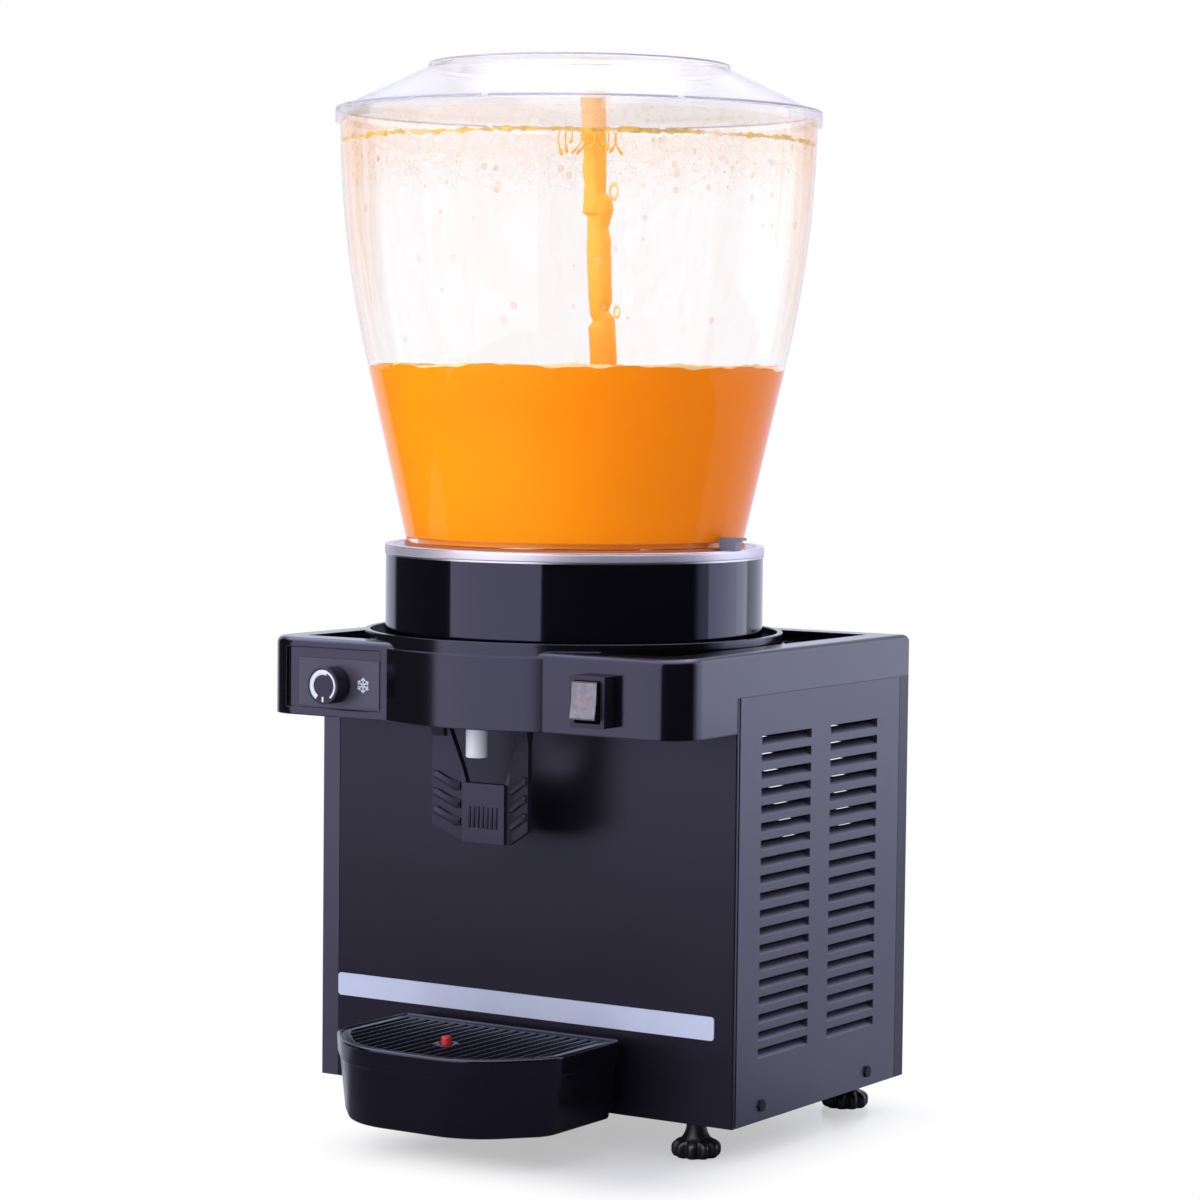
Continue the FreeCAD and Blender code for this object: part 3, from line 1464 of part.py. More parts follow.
def make_panel_screws():
    """Screws that hold the side panels to the pan: two on each side."""
    heads = []
    for side_name, sign in (("right", 1), ("left", -1)):
        for index, along in enumerate((32, 158)):
            x = (side, side + 1.4) if sign > 0 else (-side - 1.4, -side)
            head = new_body(f"screw_{side_name}_{index}")
            pad(head, "head", "YZ", x[0], x[1], hexagon(front + along, floor + 9, 3.2))
            heads.append(head)
    group = document.addObject("Part::Compound", "panel_screws")
    group.Links = heads
    return group


FEET = {
    "foot_front_left": (-foot_x, -foot_y),
    "foot_front_right": (foot_x, -foot_y),
    "foot_rear_left": (-foot_x, foot_y),
    "foot_rear_right": (foot_x, foot_y),
}

PIECES = [
    make_base_pan(), make_front_panel(), make_left_side_panel(), make_right_side_panel(),
    make_rear_panel(), make_panel_screws(), make_gland(),
    make_top_housing(), make_control_plate(), make_thermostat(), make_spindle(), make_knob(),
    make_switch_body(), make_rocker(), make_front_strip(),
    make_tank_shroud(), make_foam_ring(), make_cold_plate(), make_coil(), make_gasket(),
    make_bowl(), make_lugs(), make_lid(),
    make_pump_cover(), make_impeller(), make_drive_magnet(), make_pump_motor(), make_motor_plate(),
    make_tap_body(), make_spout(), make_plunger(), make_spring(), make_lever_pin(), make_tap_lever(),
    make_drip_tray(), make_grille(), make_float(), make_tray_bracket(),
    make_compressor(), make_compressor_mounts(), make_relay(), make_condenser(), make_fan_shroud(),
    make_fan_motor(), make_fan_blade(), make_drier(), make_suction_line(), make_discharge_line(),
]
PIECES += [make_foot(name, x, y) for name, (x, y) in FEET.items()]

document.recompute()
for item in document.Objects:
    if "Invalid" in item.State or "Error" in item.State:
        raise RuntimeError(f"{item.Name} failed: {item.State}")

os.makedirs("parts", exist_ok=True)
for piece in PIECES:
    if piece.Shape.isNull() or not piece.Shape.isValid():
        raise RuntimeError(f"{piece.Name} has no valid shape")
    piece.Label = piece.Name
    piece.Shape.exportStep(f"parts/{piece.Label}.step")
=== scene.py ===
"""Looks of the cold drink dispenser: finishes of the CAD parts, the drink in its bowl, a plain studio.

Sizes are in millimetres in the row frame (origin on the floor under the cabinet, Z up) and turn
into metres where a mesh, a lamp or the camera is made. Colours are screen values from 0 to 255,
and tone() makes them linear.
"""

import math

import bmesh
import bpy
import numpy as np
from mathutils import Matrix, Vector


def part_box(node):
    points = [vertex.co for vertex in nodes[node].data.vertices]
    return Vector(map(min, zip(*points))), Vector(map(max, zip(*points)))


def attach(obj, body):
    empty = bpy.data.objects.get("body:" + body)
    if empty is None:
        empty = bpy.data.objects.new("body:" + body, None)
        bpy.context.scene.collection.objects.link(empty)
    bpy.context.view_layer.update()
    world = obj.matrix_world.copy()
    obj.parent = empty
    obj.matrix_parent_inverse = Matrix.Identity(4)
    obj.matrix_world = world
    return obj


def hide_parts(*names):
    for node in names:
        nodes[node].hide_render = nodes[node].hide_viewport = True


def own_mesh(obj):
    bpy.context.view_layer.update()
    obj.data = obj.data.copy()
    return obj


MM = 0.001
SHARP_FROM = math.radians(40)
ROUND = 256
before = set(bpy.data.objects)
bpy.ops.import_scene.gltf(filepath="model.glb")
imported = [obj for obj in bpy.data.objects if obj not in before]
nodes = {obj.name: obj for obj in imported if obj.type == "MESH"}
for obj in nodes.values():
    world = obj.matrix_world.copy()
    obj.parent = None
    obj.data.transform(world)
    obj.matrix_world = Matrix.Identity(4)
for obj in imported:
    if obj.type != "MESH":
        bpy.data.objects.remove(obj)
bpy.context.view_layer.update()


def span(name):
    """Lowest and highest corner of a CAD node, in millimetres."""
    low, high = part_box(name)
    return np.array(low) / MM, np.array(high) / MM


# Driving places, read from the frame
bowl_low, bowl_high = span("bowl")
lid_low, lid_high = span("lid")
knob_low, knob_high = span("thermostat_knob")
rocker_low, rocker_high = span("switch_rocker")
spout_low, spout_high = span("spout")
lever_low, lever_high = span("tap_lever")
pump_low, pump_high = span("pump_cover")
bowl_axis = (bowl_low[1] + bowl_high[1]) / 2
pump_axis = (pump_low[1] + pump_high[1]) / 2

# The bowl's and the lid's forms, as the part's source has them
RIM_RADIUS = bowl_high[0]
FOOT_RADIUS = 99.8
BELLY_RADIUS = 124.8
BELLY_HEIGHT = 110.3
WALL_CURVE = 636.0
BOWL_WALL = 3.0
LID_SKIRT = 6.6
LID_BRIM = 7.6
LID_SHOULDER = 3.5
LID_DISC_RADIUS = 89.0
LID_DISC_STEP = 3.0
LID_WALL = 1.6
LID_RIB_RUNS = 8


# The tray's plan and section inside the CAD tray's box, the way for the bracket's arms, and the grille
TRAY_HALF = 76.4
TRAY_BACK = -111.0
TRAY_SHOULDER = -180.0
TRAY_NOSE = -219.4
TRAY_NOSE_HALF = 42.0
TRAY_ROUNDING = (4, 26, 52, 52, 26, 4)
TRAY_WALL = 2.5
TRAY_FLOOR = 34.0
TRAY_UNDERSIDE = 31.3
TRAY_BAND = 11.8
TRAY_BAND_DEPTH = 1.75
TRAY_DRAFT = math.tan(math.radians(6))
ARM_GATE = 54.1
GRILLE_BARS = 19
GRILLE_PITCH = 7.1

# The lever's plate
LEVER_GRIP = 29.4
LEVER_SWEEP = 6.3
LEVER_PLANE = (spout_low[1] + spout_high[1]) / 2 + 9.3
LEVER_FACE = LEVER_PLANE - 2.5

SIGN_THICKNESS = 0.12

# The drink: its foot's radius, its levels, the foam's gap to the wall, and how far the drink wets it
FOOT_MOUTH = 93.0
FILL_LEVEL = 451.5
SPLASH_LEVEL = 582.5
FOAM_GAP = 0.47
WALL_WETTING = 0.12
JET_RADIUS = 6.8
JET_LEAN = 16.0

# The camera, and level ways across its view and towards it
CAMERA_PLACE = (1189.0, -1871.0, 449.3)
CAMERA_TURN = 32.723
CAMERA_PITCH = 3.579
CAMERA_ROLL = 0.62
CAMERA_LENS = 110.0
ACROSS = (0.841, 0.541)
NEARER = (0.54, -0.84)


def tone(red, green, blue):
    """Linear colour of a screen colour from 0 to 255."""
    shades = np.array([red, green, blue], float) / 255
    linear = np.where(shades <= 0.04045, shades / 12.92, ((shades + 0.055) / 1.055) ** 2.4)
    return (*linear.tolist(), 1.0)


# Meshes


def full_turn(count):
    """Angles of a whole turn in equal steps."""
    return np.linspace(0, 2 * np.pi, count, endpoint=False)


def mesh_of(name, points, faces):
    """A smooth mesh from points in millimetres."""
    mesh = bpy.data.meshes.new(name)
    mesh.from_pydata((points.reshape(-1, 3) * MM).tolist(), [], faces)
    mesh.shade_smooth()
    return mesh


def cells_of(index):
    """Four-sided faces between the neighbours in a grid of point numbers."""
    first, last = index[..., :-1, :], index[..., 1:, :]
    cells = np.stack([first[..., :-1], first[..., 1:], last[..., 1:], last[..., :-1]], axis=-1)
    return cells.reshape(-1, 4).tolist()


def sheet_mesh(name, points, round_across=True):
    """An open mesh from points[row, column]; round_across joins the last column to the first."""
    index = np.arange(points.shape[0] * points.shape[1]).reshape(points.shape[:2])
    if round_across:
        index = np.concatenate([index, index[:, :1]], axis=1)
    return mesh_of(name, points, cells_of(index))


def solid_mesh(name, points):
    """A mesh of closed tubes or domes from points[..., row, column], the ends of each capped."""
    rows, columns = points.shape[-3:-1]
    index = np.arange(points.size // 3).reshape(-1, rows, columns)
    wrapped = np.concatenate([index, index[..., :1]], axis=2)
    mesh = mesh_of(name, points, cells_of(wrapped) + index[:, 0, ::-1].tolist() + index[:, -1].tolist())
    face_outwards(mesh)
    mesh.set_sharp_from_angle(angle=SHARP_FROM)
    return mesh


def face_outwards(mesh, merge=False):
    """Turns the faces of a closed mesh outwards; merge first joins the doubled row at its seam."""
    shell = bmesh.new()
    shell.from_mesh(mesh)
    if merge:
        bmesh.ops.remove_doubles(shell, verts=shell.verts, dist=1e-7)
    bmesh.ops.recalc_face_normals(shell, faces=shell.faces)
    shell.to_mesh(mesh)
    shell.free()


def added(name, data):
    """A new object in the scene, at the origin."""
    item = bpy.data.objects.new(name, data)
    bpy.context.scene.collection.objects.link(item)
    return item


def piece(name, mesh, body, material):
    """An object for a mesh that already lies in its place, riding on a CAD body."""
    item = added(name, mesh)
    mesh.materials.append(material)
    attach(item, body)
    return item


def solid(name, points, body, material):
    """A piece from points[..., row, column] as a closed mesh."""
    return piece(name, solid_mesh(name, points), body, material)


def ring(name, rows, body, material):
    """A piece that is a ring, whose section closes from the last row to the first."""
    mesh = sheet_mesh(name, np.concatenate([rows, rows[:1]]))
    face_outwards(mesh, merge=True)
    return piece(name, mesh, body, material)


def unit(ways):
    """Vectors cut to a length of one."""
    return ways / np.linalg.norm(ways, axis=-1, keepdims=True)


def round_axis(radius, angle, height, x=0.0, y=0.0):
    """Points at a radius, angle and height round a vertical axis through x and y."""
    places = radius * np.cos(angle) + x, radius * np.sin(angle) + y, height
    return np.stack(np.broadcast_arrays(*places), axis=-1)


def turned(outline, turns, y=0.0):
    """Points of a turned form: the outline's (radius, height) pairs carried round a vertical axis."""
    outline = np.asarray(outline, float)
    return round_axis(outline[:, :1], full_turn(turns), outline[:, 1:], 0.0, y)


def softened(corners, steps=6):
    """Outline through (radius, height, rounding) corners, rounded by parabolas."""
    corners = np.asarray(corners, float)
    path = [corners[:1, :2]]
    for before, here, after in zip(corners[:-2], corners[1:-1], corners[2:]):
        back, ahead = before[:2] - here[:2], after[:2] - here[:2]
        reach = min(here[2], np.linalg.norm(back) / 2, np.linalg.norm(ahead) / 2)
        start, end = here[:2] + unit(back) * reach, here[:2] + unit(ahead) * reach
        share = np.linspace(0, 1, steps if reach > 0 else 1)[:, None]
        path.append((1 - share) ** 2 * start + 2 * share * (1 - share) * here[:2] + share ** 2 * end)
    path.append(corners[-1:, :2])
    return np.concatenate(path)


def ripple(angle, height, seed, scale):
    """Smooth irregular field from -1 to 1: a sum of sines with seeded phases."""
    dice = np.random.default_rng(seed)
    total = np.zeros(np.broadcast(angle, height).shape)
    for octave in range(1, 7):
        across, upwards = dice.integers(1, 4) * octave, dice.uniform(0.6, 1.6) * octave / scale
        phase, shift = dice.uniform(0, 2 * np.pi, 2)
        total = total + np.sin(across * angle + phase) * np.cos(upwards * height + shift) / octave
    return total / 1.6


def inner_radius(height):
    """Inner radius of the bowl: a straight flare up to the belly, then an arc of WALL_CURVE."""
    low = bowl_low[2]
    belly = low + BELLY_HEIGHT
    rise = bowl_high[2] - belly
    flare = FOOT_RADIUS + (BELLY_RADIUS - FOOT_RADIUS) * (height - low) / BELLY_HEIGHT
    share = np.clip((height - belly) / rise, 0, 1)
    chord = BELLY_RADIUS + (RIM_RADIUS - BELLY_RADIUS) * share
    length = math.hypot(rise, RIM_RADIUS - BELLY_RADIUS)
    bulge = length ** 2 / (2 * WALL_CURVE) * share * (1 - share)
    return np.where(height < belly, flare, chord + bulge) - BOWL_WALL


# Shader helpers


def feed(tree, target, inputs):
    """Sets a node's sockets, by name or number, to values or to other nodes' outputs."""
    for label, value in inputs.items():
        if isinstance(value, bpy.types.NodeSocket):
            tree.links.new(value, target.inputs[label])
        else:
            target.inputs[label].default_value = value


def node(tree, kind, inputs=None, **settings):
    """Adds a shader node, its kind written without the prefix ShaderNode."""
    made = tree.nodes.new("ShaderNode" + kind)
    for label, value in settings.items():
        setattr(made, label, value)
    feed(tree, made, inputs or {})
    return made


def maths(tree, kind, *values):
    return node(tree, "Math", dict(enumerate(values)), operation=kind).outputs["Value"]


def vectors(tree, kind, *values):
    """Output of a vector operation, a number or a vector."""
    made = node(tree, "VectorMath", dict(enumerate(values)), operation=kind)
    return made.outputs["Value" if kind in ("LENGTH", "DISTANCE", "DOT_PRODUCT") else "Vector"]


def ramp(tree, value, low, high, to_low=0.0, to_high=1.0):
    """Smooth step of a value from to_low at low to to_high at high."""
    limits = {"Value": value, "From Min": low, "From Max": high, "To Min": to_low, "To Max": to_high}
    return node(tree, "MapRange", limits, interpolation_type="SMOOTHSTEP").outputs["Result"]


def object_place(tree):
    return node(tree, "TexCoord").outputs["Object"]


def part_of(tree, vector, axis):
    """X, Y or Z of a vector."""
    return node(tree, "SeparateXYZ", {"Vector": vector}).outputs[axis]


def noise(tree, scale, detail=3.0, stretch=(1, 1, 1)):
    """Noise on Object coordinates, stretched along the axes."""
    place = node(tree, "Mapping", {"Vector": object_place(tree), "Scale": stretch}).outputs["Vector"]
    return noise_at(tree, place, scale, detail)


def noise_at(tree, place, scale, detail):
    return node(tree, "TexNoise", {"Vector": place, "Scale": scale, "Detail": detail}).outputs["Fac"]


def blend(tree, mask, *colours):
    """Colour between two by a mask, each another node's output or a screen colour."""
    first, second = (tone(*colour) if isinstance(colour, tuple) else colour for colour in colours)
    return node(tree, "Mix", {"Factor": mask, "A": first, "B": second}, data_type="RGBA").outputs["Result"]


def bumped(tree, height, strength, distance, under=None):
    """Normal of a bump whose distance is in metres, on top of the normal under it."""
    inputs = {"Height": height, "Strength": strength, "Distance": distance}
    if under is not None:
        inputs["Normal"] = under
    return node(tree, "Bump", inputs).outputs["Normal"]


def surface_grain():
    """Group: fine grain, cloudy patches and settled dust, from Object coordinates.

    Grain is a height, Cloud a slow change of tone, Dust a mask of faces that look up, and Edge the
    normal with the moulding's edges rounded off.
    """
    group = bpy.data.node_groups.new("surface_grain", "ShaderNodeTree")
    for label, start in (("Grain size", 900.0), ("Patch size", 14.0), ("Edge radius", 0.0006)):
        made = group.interface.new_socket(name=label, in_out="INPUT", socket_type="NodeSocketFloat")
        made.default_value = start
    for label in ("Grain", "Cloud", "Dust", "Edge"):
        kind = "NodeSocketVector" if label == "Edge" else "NodeSocketFloat"
        group.interface.new_socket(name=label, in_out="OUTPUT", socket_type=kind)
    given = group.nodes.new("NodeGroupInput").outputs
    place = object_place(group)
    fine = noise_at(group, place, given["Grain size"], 3.0)
    slow = noise_at(group, place, given["Patch size"], 4.0)
    specks = noise_at(group, place, 420.0, 6.0)
    height = part_of(group, node(group, "NewGeometry").outputs["Normal"], "Z")
    upward = ramp(group, height, 0.5, 1.0)
    thick = ramp(group, specks, 0.5, 0.8)
    rounded = node(group, "Bevel", {"Radius": given["Edge radius"]}, samples=4)
    feed(group, group.nodes.new("NodeGroupOutput"), {
        "Grain": fine, "Cloud": slow, "Dust": maths(group, "MULTIPLY", upward, thick),
        "Edge": rounded.outputs["Normal"],
    })
    return group


grain_group = surface_grain()


def plain(name, colour, roughness, **uniform):
    """A material whose Principled shader has a screen colour, a roughness and other plain sockets."""
    material = bpy.data.materials.new(name)
    material.use_nodes = True
    shader = material.node_tree.nodes["Principled BSDF"]
    feed(material.node_tree, shader, {"Base Color": tone(*colour), "Roughness": roughness})
    feed(material.node_tree, shader, {label.replace("_", " "): value for label, value in uniform.items()})
    return material, material.node_tree, shader


def grained(name, colour, worn, roughness, spread, grain=900, depth=0.05, dusty=False, edge=0, **uniform):
    """A finish that clouds from a screen colour towards worn, whose roughness varies by spread, with
    a fine grain bump, and with edges rounded by edge millimetres where it is given."""
    material, tree, shader = plain(name, colour, roughness, **uniform)
    texture = node(tree, "Group", node_tree=grain_group)
    texture.inputs["Grain size"].default_value = grain
    cloud = texture.outputs["Cloud"]
    tint = blend(tree, ramp(tree, cloud, 0.3, 0.7), colour, worn)
    if dusty:
        dust = maths(tree, "MULTIPLY", texture.outputs["Dust"], 0.12)
        tint = blend(tree, dust, tint, (150, 150, 158))
    limits = {"Value": cloud, "To Min": roughness - spread, "To Max": roughness + spread}
    rough = node(tree, "MapRange", limits)
    under = None
    if edge:
        texture.inputs["Edge radius"].default_value = edge * MM
        under = texture.outputs["Edge"]
    normal = bumped(tree, texture.outputs["Grain"], depth, 0.0002, under)
    feed(tree, shader, {"Base Color": tint, "Roughness": rough.outputs["Result"], "Normal": normal})
    return material


# Finishes: colour, worn colour, roughness, its spread, grain size, bump depth, dust, edge radius

COOL = {"Specular_Tint": tone(214, 210, 255)}

painted_steel = grained("painted_steel", (13, 12, 17), (16, 14, 20), 0.34, 0.03, 1500, 0.1, True, 0.5,
                        Specular_IOR_Level=0.46, **COOL)
# Painted light: the side panels' paint is painted_steel's black made lighter for the light that falls on the
# sides.
lit_side_paint = grained("lit_side_paint", (50, 48, 58), (55, 53, 63), 0.36, 0.03, 1500, 0.1, True, 0.5,
                     Specular_IOR_Level=0.75, **COOL)
glossy_plastic = grained("glossy_plastic", (6, 5, 9), (9, 8, 12), 0.07, 0.02, 240, 0.01, True, 0.5, **COOL)
housing_plastic = grained("housing_plastic", (8, 7, 11), (12, 11, 15), 0.15, 0.03, 300, 0.03, True, 1.0,
                          Specular_IOR_Level=0.52, **COOL)
lever_plastic = grained("lever_plastic", (36, 34, 42), (41, 39, 47), 0.36, 0.05, 2200, 0.12, True, 0.5,
                        **COOL)
satin_plastic = grained("satin_plastic", (24, 22, 29), (29, 27, 34), 0.36, 0.05, 2200, 0.12, True, 0.5,
                        **COOL)
tray_plastic = grained("tray_plastic", (9, 8, 12), (13, 12, 16), 0.17, 0.04, 1200, 0.03, True, 0.7, **COOL)
strip_foil = grained("strip_foil", (184, 192, 214), (192, 200, 222), 0.38, 0.05, 1400, 0.03)
plate_print = grained("plate_print", (60, 58, 68), (65, 63, 73), 0.34, 0.05, 1800, 0.05, **COOL)
stainless = grained("stainless", (176, 174, 180), (196, 194, 200), 0.3, 0.06, 700, 0.08, Metallic=1.0)
rolled_steel = grained("rolled_steel", (196, 190, 200), (208, 204, 212), 0.42, 0.05, 700, 0.06, Metallic=0.7)
white_plastic = grained("white_plastic", (206, 206, 212), (214, 214, 220), 0.32, 0.05, 1100, 0.04)
red_plastic = grained("red_plastic", (206, 26, 32), (216, 38, 40), 0.3, 0.05, 1100, 0.04)
lug_plastic = grained("lug_plastic", (112, 120, 140), (122, 130, 150), 0.35, 0.05, 1400, 0.05)
rubber = grained("rubber", (11, 11, 13), (17, 17, 19), 0.42, 0.06, 1800, 0.12, True)
silicone = grained("silicone", (178, 96, 44), (188, 108, 54), 0.5, 0.05, 900, 0.06)
foam = grained("foam", (226, 214, 176), (236, 226, 192), 0.85, 0.05, 500, 0.5)
black_steel = grained("black_steel", (20, 20, 23), (28, 28, 31), 0.38, 0.06, 900, 0.12, True)
zinc = grained("zinc", (168, 170, 172), (190, 190, 186), 0.4, 0.08, 600, 0.1, Metallic=1.0)
copper = grained("copper", (196, 122, 84), (176, 104, 72), 0.32, 0.08, 700, 0.08, Metallic=1.0)
aluminium = grained("aluminium", (196, 198, 202), (180, 182, 186), 0.36, 0.08, 700, 0.1, Metallic=1.0)
dark_screw = grained("dark_screw", (5, 5, 8), (9, 9, 12), 0.6, 0.05, 900, 0.08, Specular_IOR_Level=0.2)
print_white = grained("print_white", (205, 210, 222), (215, 220, 230), 0.4, 0.05)
print_cream = grained("print_cream", (206, 178, 118), (214, 188, 132), 0.4, 0.05)


def rocker_finish():
    """Smoky rocker plastic with a faint warm glow in its middle, and a painted shade on its sides."""
    material, tree, shader = plain("rocker_plastic", (112, 108, 116), 0.32)
    middle = Vector((rocker_low + rocker_high) / 2) * MM
    glow = ramp(tree, vectors(tree, "DISTANCE", object_place(tree), middle), 0.002, 0.008, 0.5, 0.0)
    mottle = ramp(tree, noise(tree, 260.0, 4.0), 0.35, 0.65)
    grey = blend(tree, mottle, (108, 105, 116), (126, 122, 132))
    # Painted shade: faces that do not look to the front get a near black in place of the rocker's grey.
    facing = part_of(tree, node(tree, "NewGeometry").outputs["Normal"], "Y")
    front = ramp(tree, facing, -0.9, -0.6, 1.0, 0.0)
    lit = blend(tree, glow, grey, (176, 98, 98))
    colour = blend(tree, front, (8, 7, 10), lit)
    feed(tree, shader, {"Base Color": colour, "Normal": bumped(tree, noise(tree, 1500.0), 0.08, 0.0002)})
    return material


def clear_plastic(name, tint, index, wave, **uniform):
    """Clear moulded plastic with a slow waviness in its wall."""
    material, tree, shader = plain(name, tint, 0.0, Transmission_Weight=1.0, IOR=index, **uniform)
    feed(tree, shader, {"Normal": bumped(tree, noise(tree, 26.0, 2.0), wave, 0.0006)})
    return material


def drink_finish(name, deep, light, misty_from=None, right_shade=None):
    """The drink: it goes from deep to light in slow drifts, turns misty above a level, and, where
    right_shade is given, carries a painted shade that makes it darker and redder towards its right."""
    material, tree, shader = plain(name, light, 0.4, Specular_IOR_Level=0.1)
    drift = ramp(tree, noise(tree, 9.0, 5.0), 0.3, 0.7)
    shade = blend(tree, drift, deep, light)
    place = object_place(tree)
    if right_shade:
        # Painted shade: darker and redder towards the right, as the camera sees it.
        shade = blend(tree, ramp(tree, along(tree, place, ACROSS, 0), -0.10, 0.06), shade, right_shade)
    if misty_from:
        level = part_of(tree, place, "Z")
        mist = ramp(tree, level, misty_from * MM, (misty_from + 5) * MM, 0.0, 0.75)
        shade = blend(tree, mist, shade, (236, 196, 160))
    feed(tree, shader, {"Base Color": shade})
    return material


def bead_finish():
    """Drops: nearly clear in the middle and peach towards the edge, after the attribute "rim"; the peach edge
    is a painted refraction ring.
    """
    material, tree, shader = plain("drink_bead", (252, 226, 196), 0.2, Specular_IOR_Level=0.2)
    rim = node(tree, "Attribute", attribute_name="rim").outputs["Fac"]
    # Painted refraction: the edge is made more opaque and peach where a real drop bends the light.
    feed(tree, shader, {"Alpha": ramp(tree, rim, 0.5, 1.0, 0.0, 0.34),
                        "Base Color": blend(tree, rim, (255, 244, 230), (252, 206, 158))})
    return material


def refraction_line_finish():
    """Painted refraction: lavender grey lines where the clear lid's moulded edges bend the light, thinner in
    places.
    """
    material, tree, shader = plain("painted_refraction_grey", (196, 190, 214), 0.3, Specular_IOR_Level=0.2)
    feed(tree, shader, {"Alpha": ramp(tree, noise(tree, 30.0, 3.0), 0.3, 0.7, 0.45, 0.75)})
    return material


def along(tree, place, way, origin):
    """How far a place lies from a vertical axis along a level way, in metres."""
    return maths(tree, "SUBTRACT", vectors(tree, "DOT_PRODUCT", place, (*way, 0)), way[1] * origin * MM)


def film_finish():
    """Film of splashed drink on the bowl's wall.

    It has an irregular golden line at the splash level in front, veined haze under it, an even haze above
    it, and streaks painted denser towards the two sides, where the camera looks through the wall edge-on.
    """
    material, tree, shader = plain("drink_film", (255, 158, 40), 0.5)
    place = object_place(tree)
    level = part_of(tree, place, "Z")
    ahead = ramp(tree, along(tree, place, NEARER, bowl_axis), -0.005, 0.03)
    wobble = maths(tree, "MULTIPLY_ADD", noise(tree, 60.0, 4.0, (1, 1, 0.3)), 0.003, -0.0015)
    wavy = maths(tree, "ADD", level, wobble)
    off_line = maths(tree, "ABSOLUTE", maths(tree, "SUBTRACT", wavy, SPLASH_LEVEL * MM))
    girth = ramp(tree, noise(tree, 170.0, 4.0), 0.35, 0.7, 0.0003, 0.0017)
    line = ramp(tree, maths(tree, "SUBTRACT", off_line, girth), -0.0001, 0.0006, 1.0, 0.0)
    thin = maths(tree, "MULTIPLY", ahead, ramp(tree, noise(tree, 34.0, 5.0), 0.30, 0.5, 0.6, 1.0))
    line = maths(tree, "MULTIPLY", line, thin)
    above = ramp(tree, level, (SPLASH_LEVEL - 2) * MM, SPLASH_LEVEL * MM, 0.0, 0.11)
    vein = maths(tree, "ABSOLUTE", maths(tree, "SUBTRACT", noise(tree, 110.0, 3.0, (1, 1, 1.2)), 0.5))
    under = ramp(tree, level, (SPLASH_LEVEL - 34) * MM, (SPLASH_LEVEL - 4) * MM, 0.02, 0.22)
    below = maths(tree, "MULTIPLY", under, ramp(tree, vein, 0.0, 0.05, 1.0, 0.3))
    patches = ramp(tree, noise(tree, 18.0, 4.0), 0.42, 0.7, 0.0, 0.04)
    runs = ramp(tree, noise(tree, 75.0, 3.0, (1, 1, 0.12)), 0.56, 0.66, 0.0, 0.035)
    # Painted light: the film is denser at the bowl's two sides, where the camera looks through the wall
    # edge-on.
    aside = maths(tree, "ABSOLUTE", along(tree, place, ACROSS, bowl_axis))
    streaks = ramp(tree, noise(tree, 130.0, 3.0, (1, 1, 0.05)), 0.42, 0.62, 0.25, 1.0)
    sides = maths(tree, "MULTIPLY", ramp(tree, aside, 0.108, 0.136, 0.0, 0.24), streaks)
    haze = maths(tree, "MAXIMUM", maths(tree, "MAXIMUM", above, below), maths(tree, "ADD", patches, runs))
    amount = maths(tree, "MAXIMUM", maths(tree, "MULTIPLY", line, 0.9), maths(tree, "ADD", haze, sides))
    darker = ramp(tree, noise(tree, 260.0, 3.0), 0.4, 0.65)
    gold = blend(tree, darker, (234, 190, 56), (196, 150, 44))
    feed(tree, shader, {"Alpha": amount, "Base Color": blend(tree, line, (255, 182, 76), gold)})
    return material


rocker_plastic = rocker_finish()
bowl_clear = clear_plastic("bowl_clear", (254, 253, 254), 1.2, 0.06)
lid_clear = clear_plastic("lid_clear", (254, 252, 255), 1.15, 0.03, Alpha=0.6)
# The last colour is the painted shade on the drink's right.
drink = drink_finish("drink", (252, 146, 0), (252, 156, 0), None, (247, 134, 2))
drink_spray = drink_finish("drink_spray", (252, 170, 48), (253, 188, 80), SPLASH_LEVEL + 6)
drink_foam = drink_finish("drink_foam", (252, 204, 130), (255, 226, 176))
drink_film = film_finish()
drop_finish = bead_finish()
painted_refraction_grey = refraction_line_finish()

# The CAD nodes of each finish
WEARERS = (
    (painted_steel, "base_pan front_panel rear_panel"),
    (lit_side_paint, "left_side_panel right_side_panel"),
    (dark_screw, "panel_screws"), (housing_plastic, "top_housing"), (plate_print, "control_plate"),
    (rocker_plastic, "switch_rocker"), (strip_foil, "front_strip"), (glossy_plastic, "tank_shroud"),
    (foam, "tank_insulation"), (silicone, "bowl_gasket"), (bowl_clear, "bowl"), (lug_plastic, "bowl_lugs"),
    (lid_clear, "lid"), (lever_plastic, "tap_lever"), (red_plastic, "level_float"),
    (satin_plastic, "cable_gland thermostat thermostat_knob switch_body tap_body start_relay"),
    (stainless, "cold_plate tap_spring lever_pin"),
    (copper, "evaporator_coil filter_drier suction_line discharge_line"),
    (white_plastic, "pump_cover impeller spout tap_plunger"),
    (black_steel, "drive_magnet pump_motor compressor fan_shroud fan_motor"),
    (zinc, "thermostat_spindle motor_plate tray_bracket"),
    (tray_plastic, "drip_tray drip_grille"),
    (rubber, "compressor_mounts foot_front_left foot_front_right foot_rear_left foot_rear_right"),
    (aluminium, "condenser fan_blade"),
)


def dress_cad_nodes():
    """Gives each CAD node its finish."""
    for finish, names in WEARERS:
        for name in names.split():
            materials = nodes[name].data.materials
            materials.clear()
            materials.append(finish)


# Moulded pieces finer than their solids


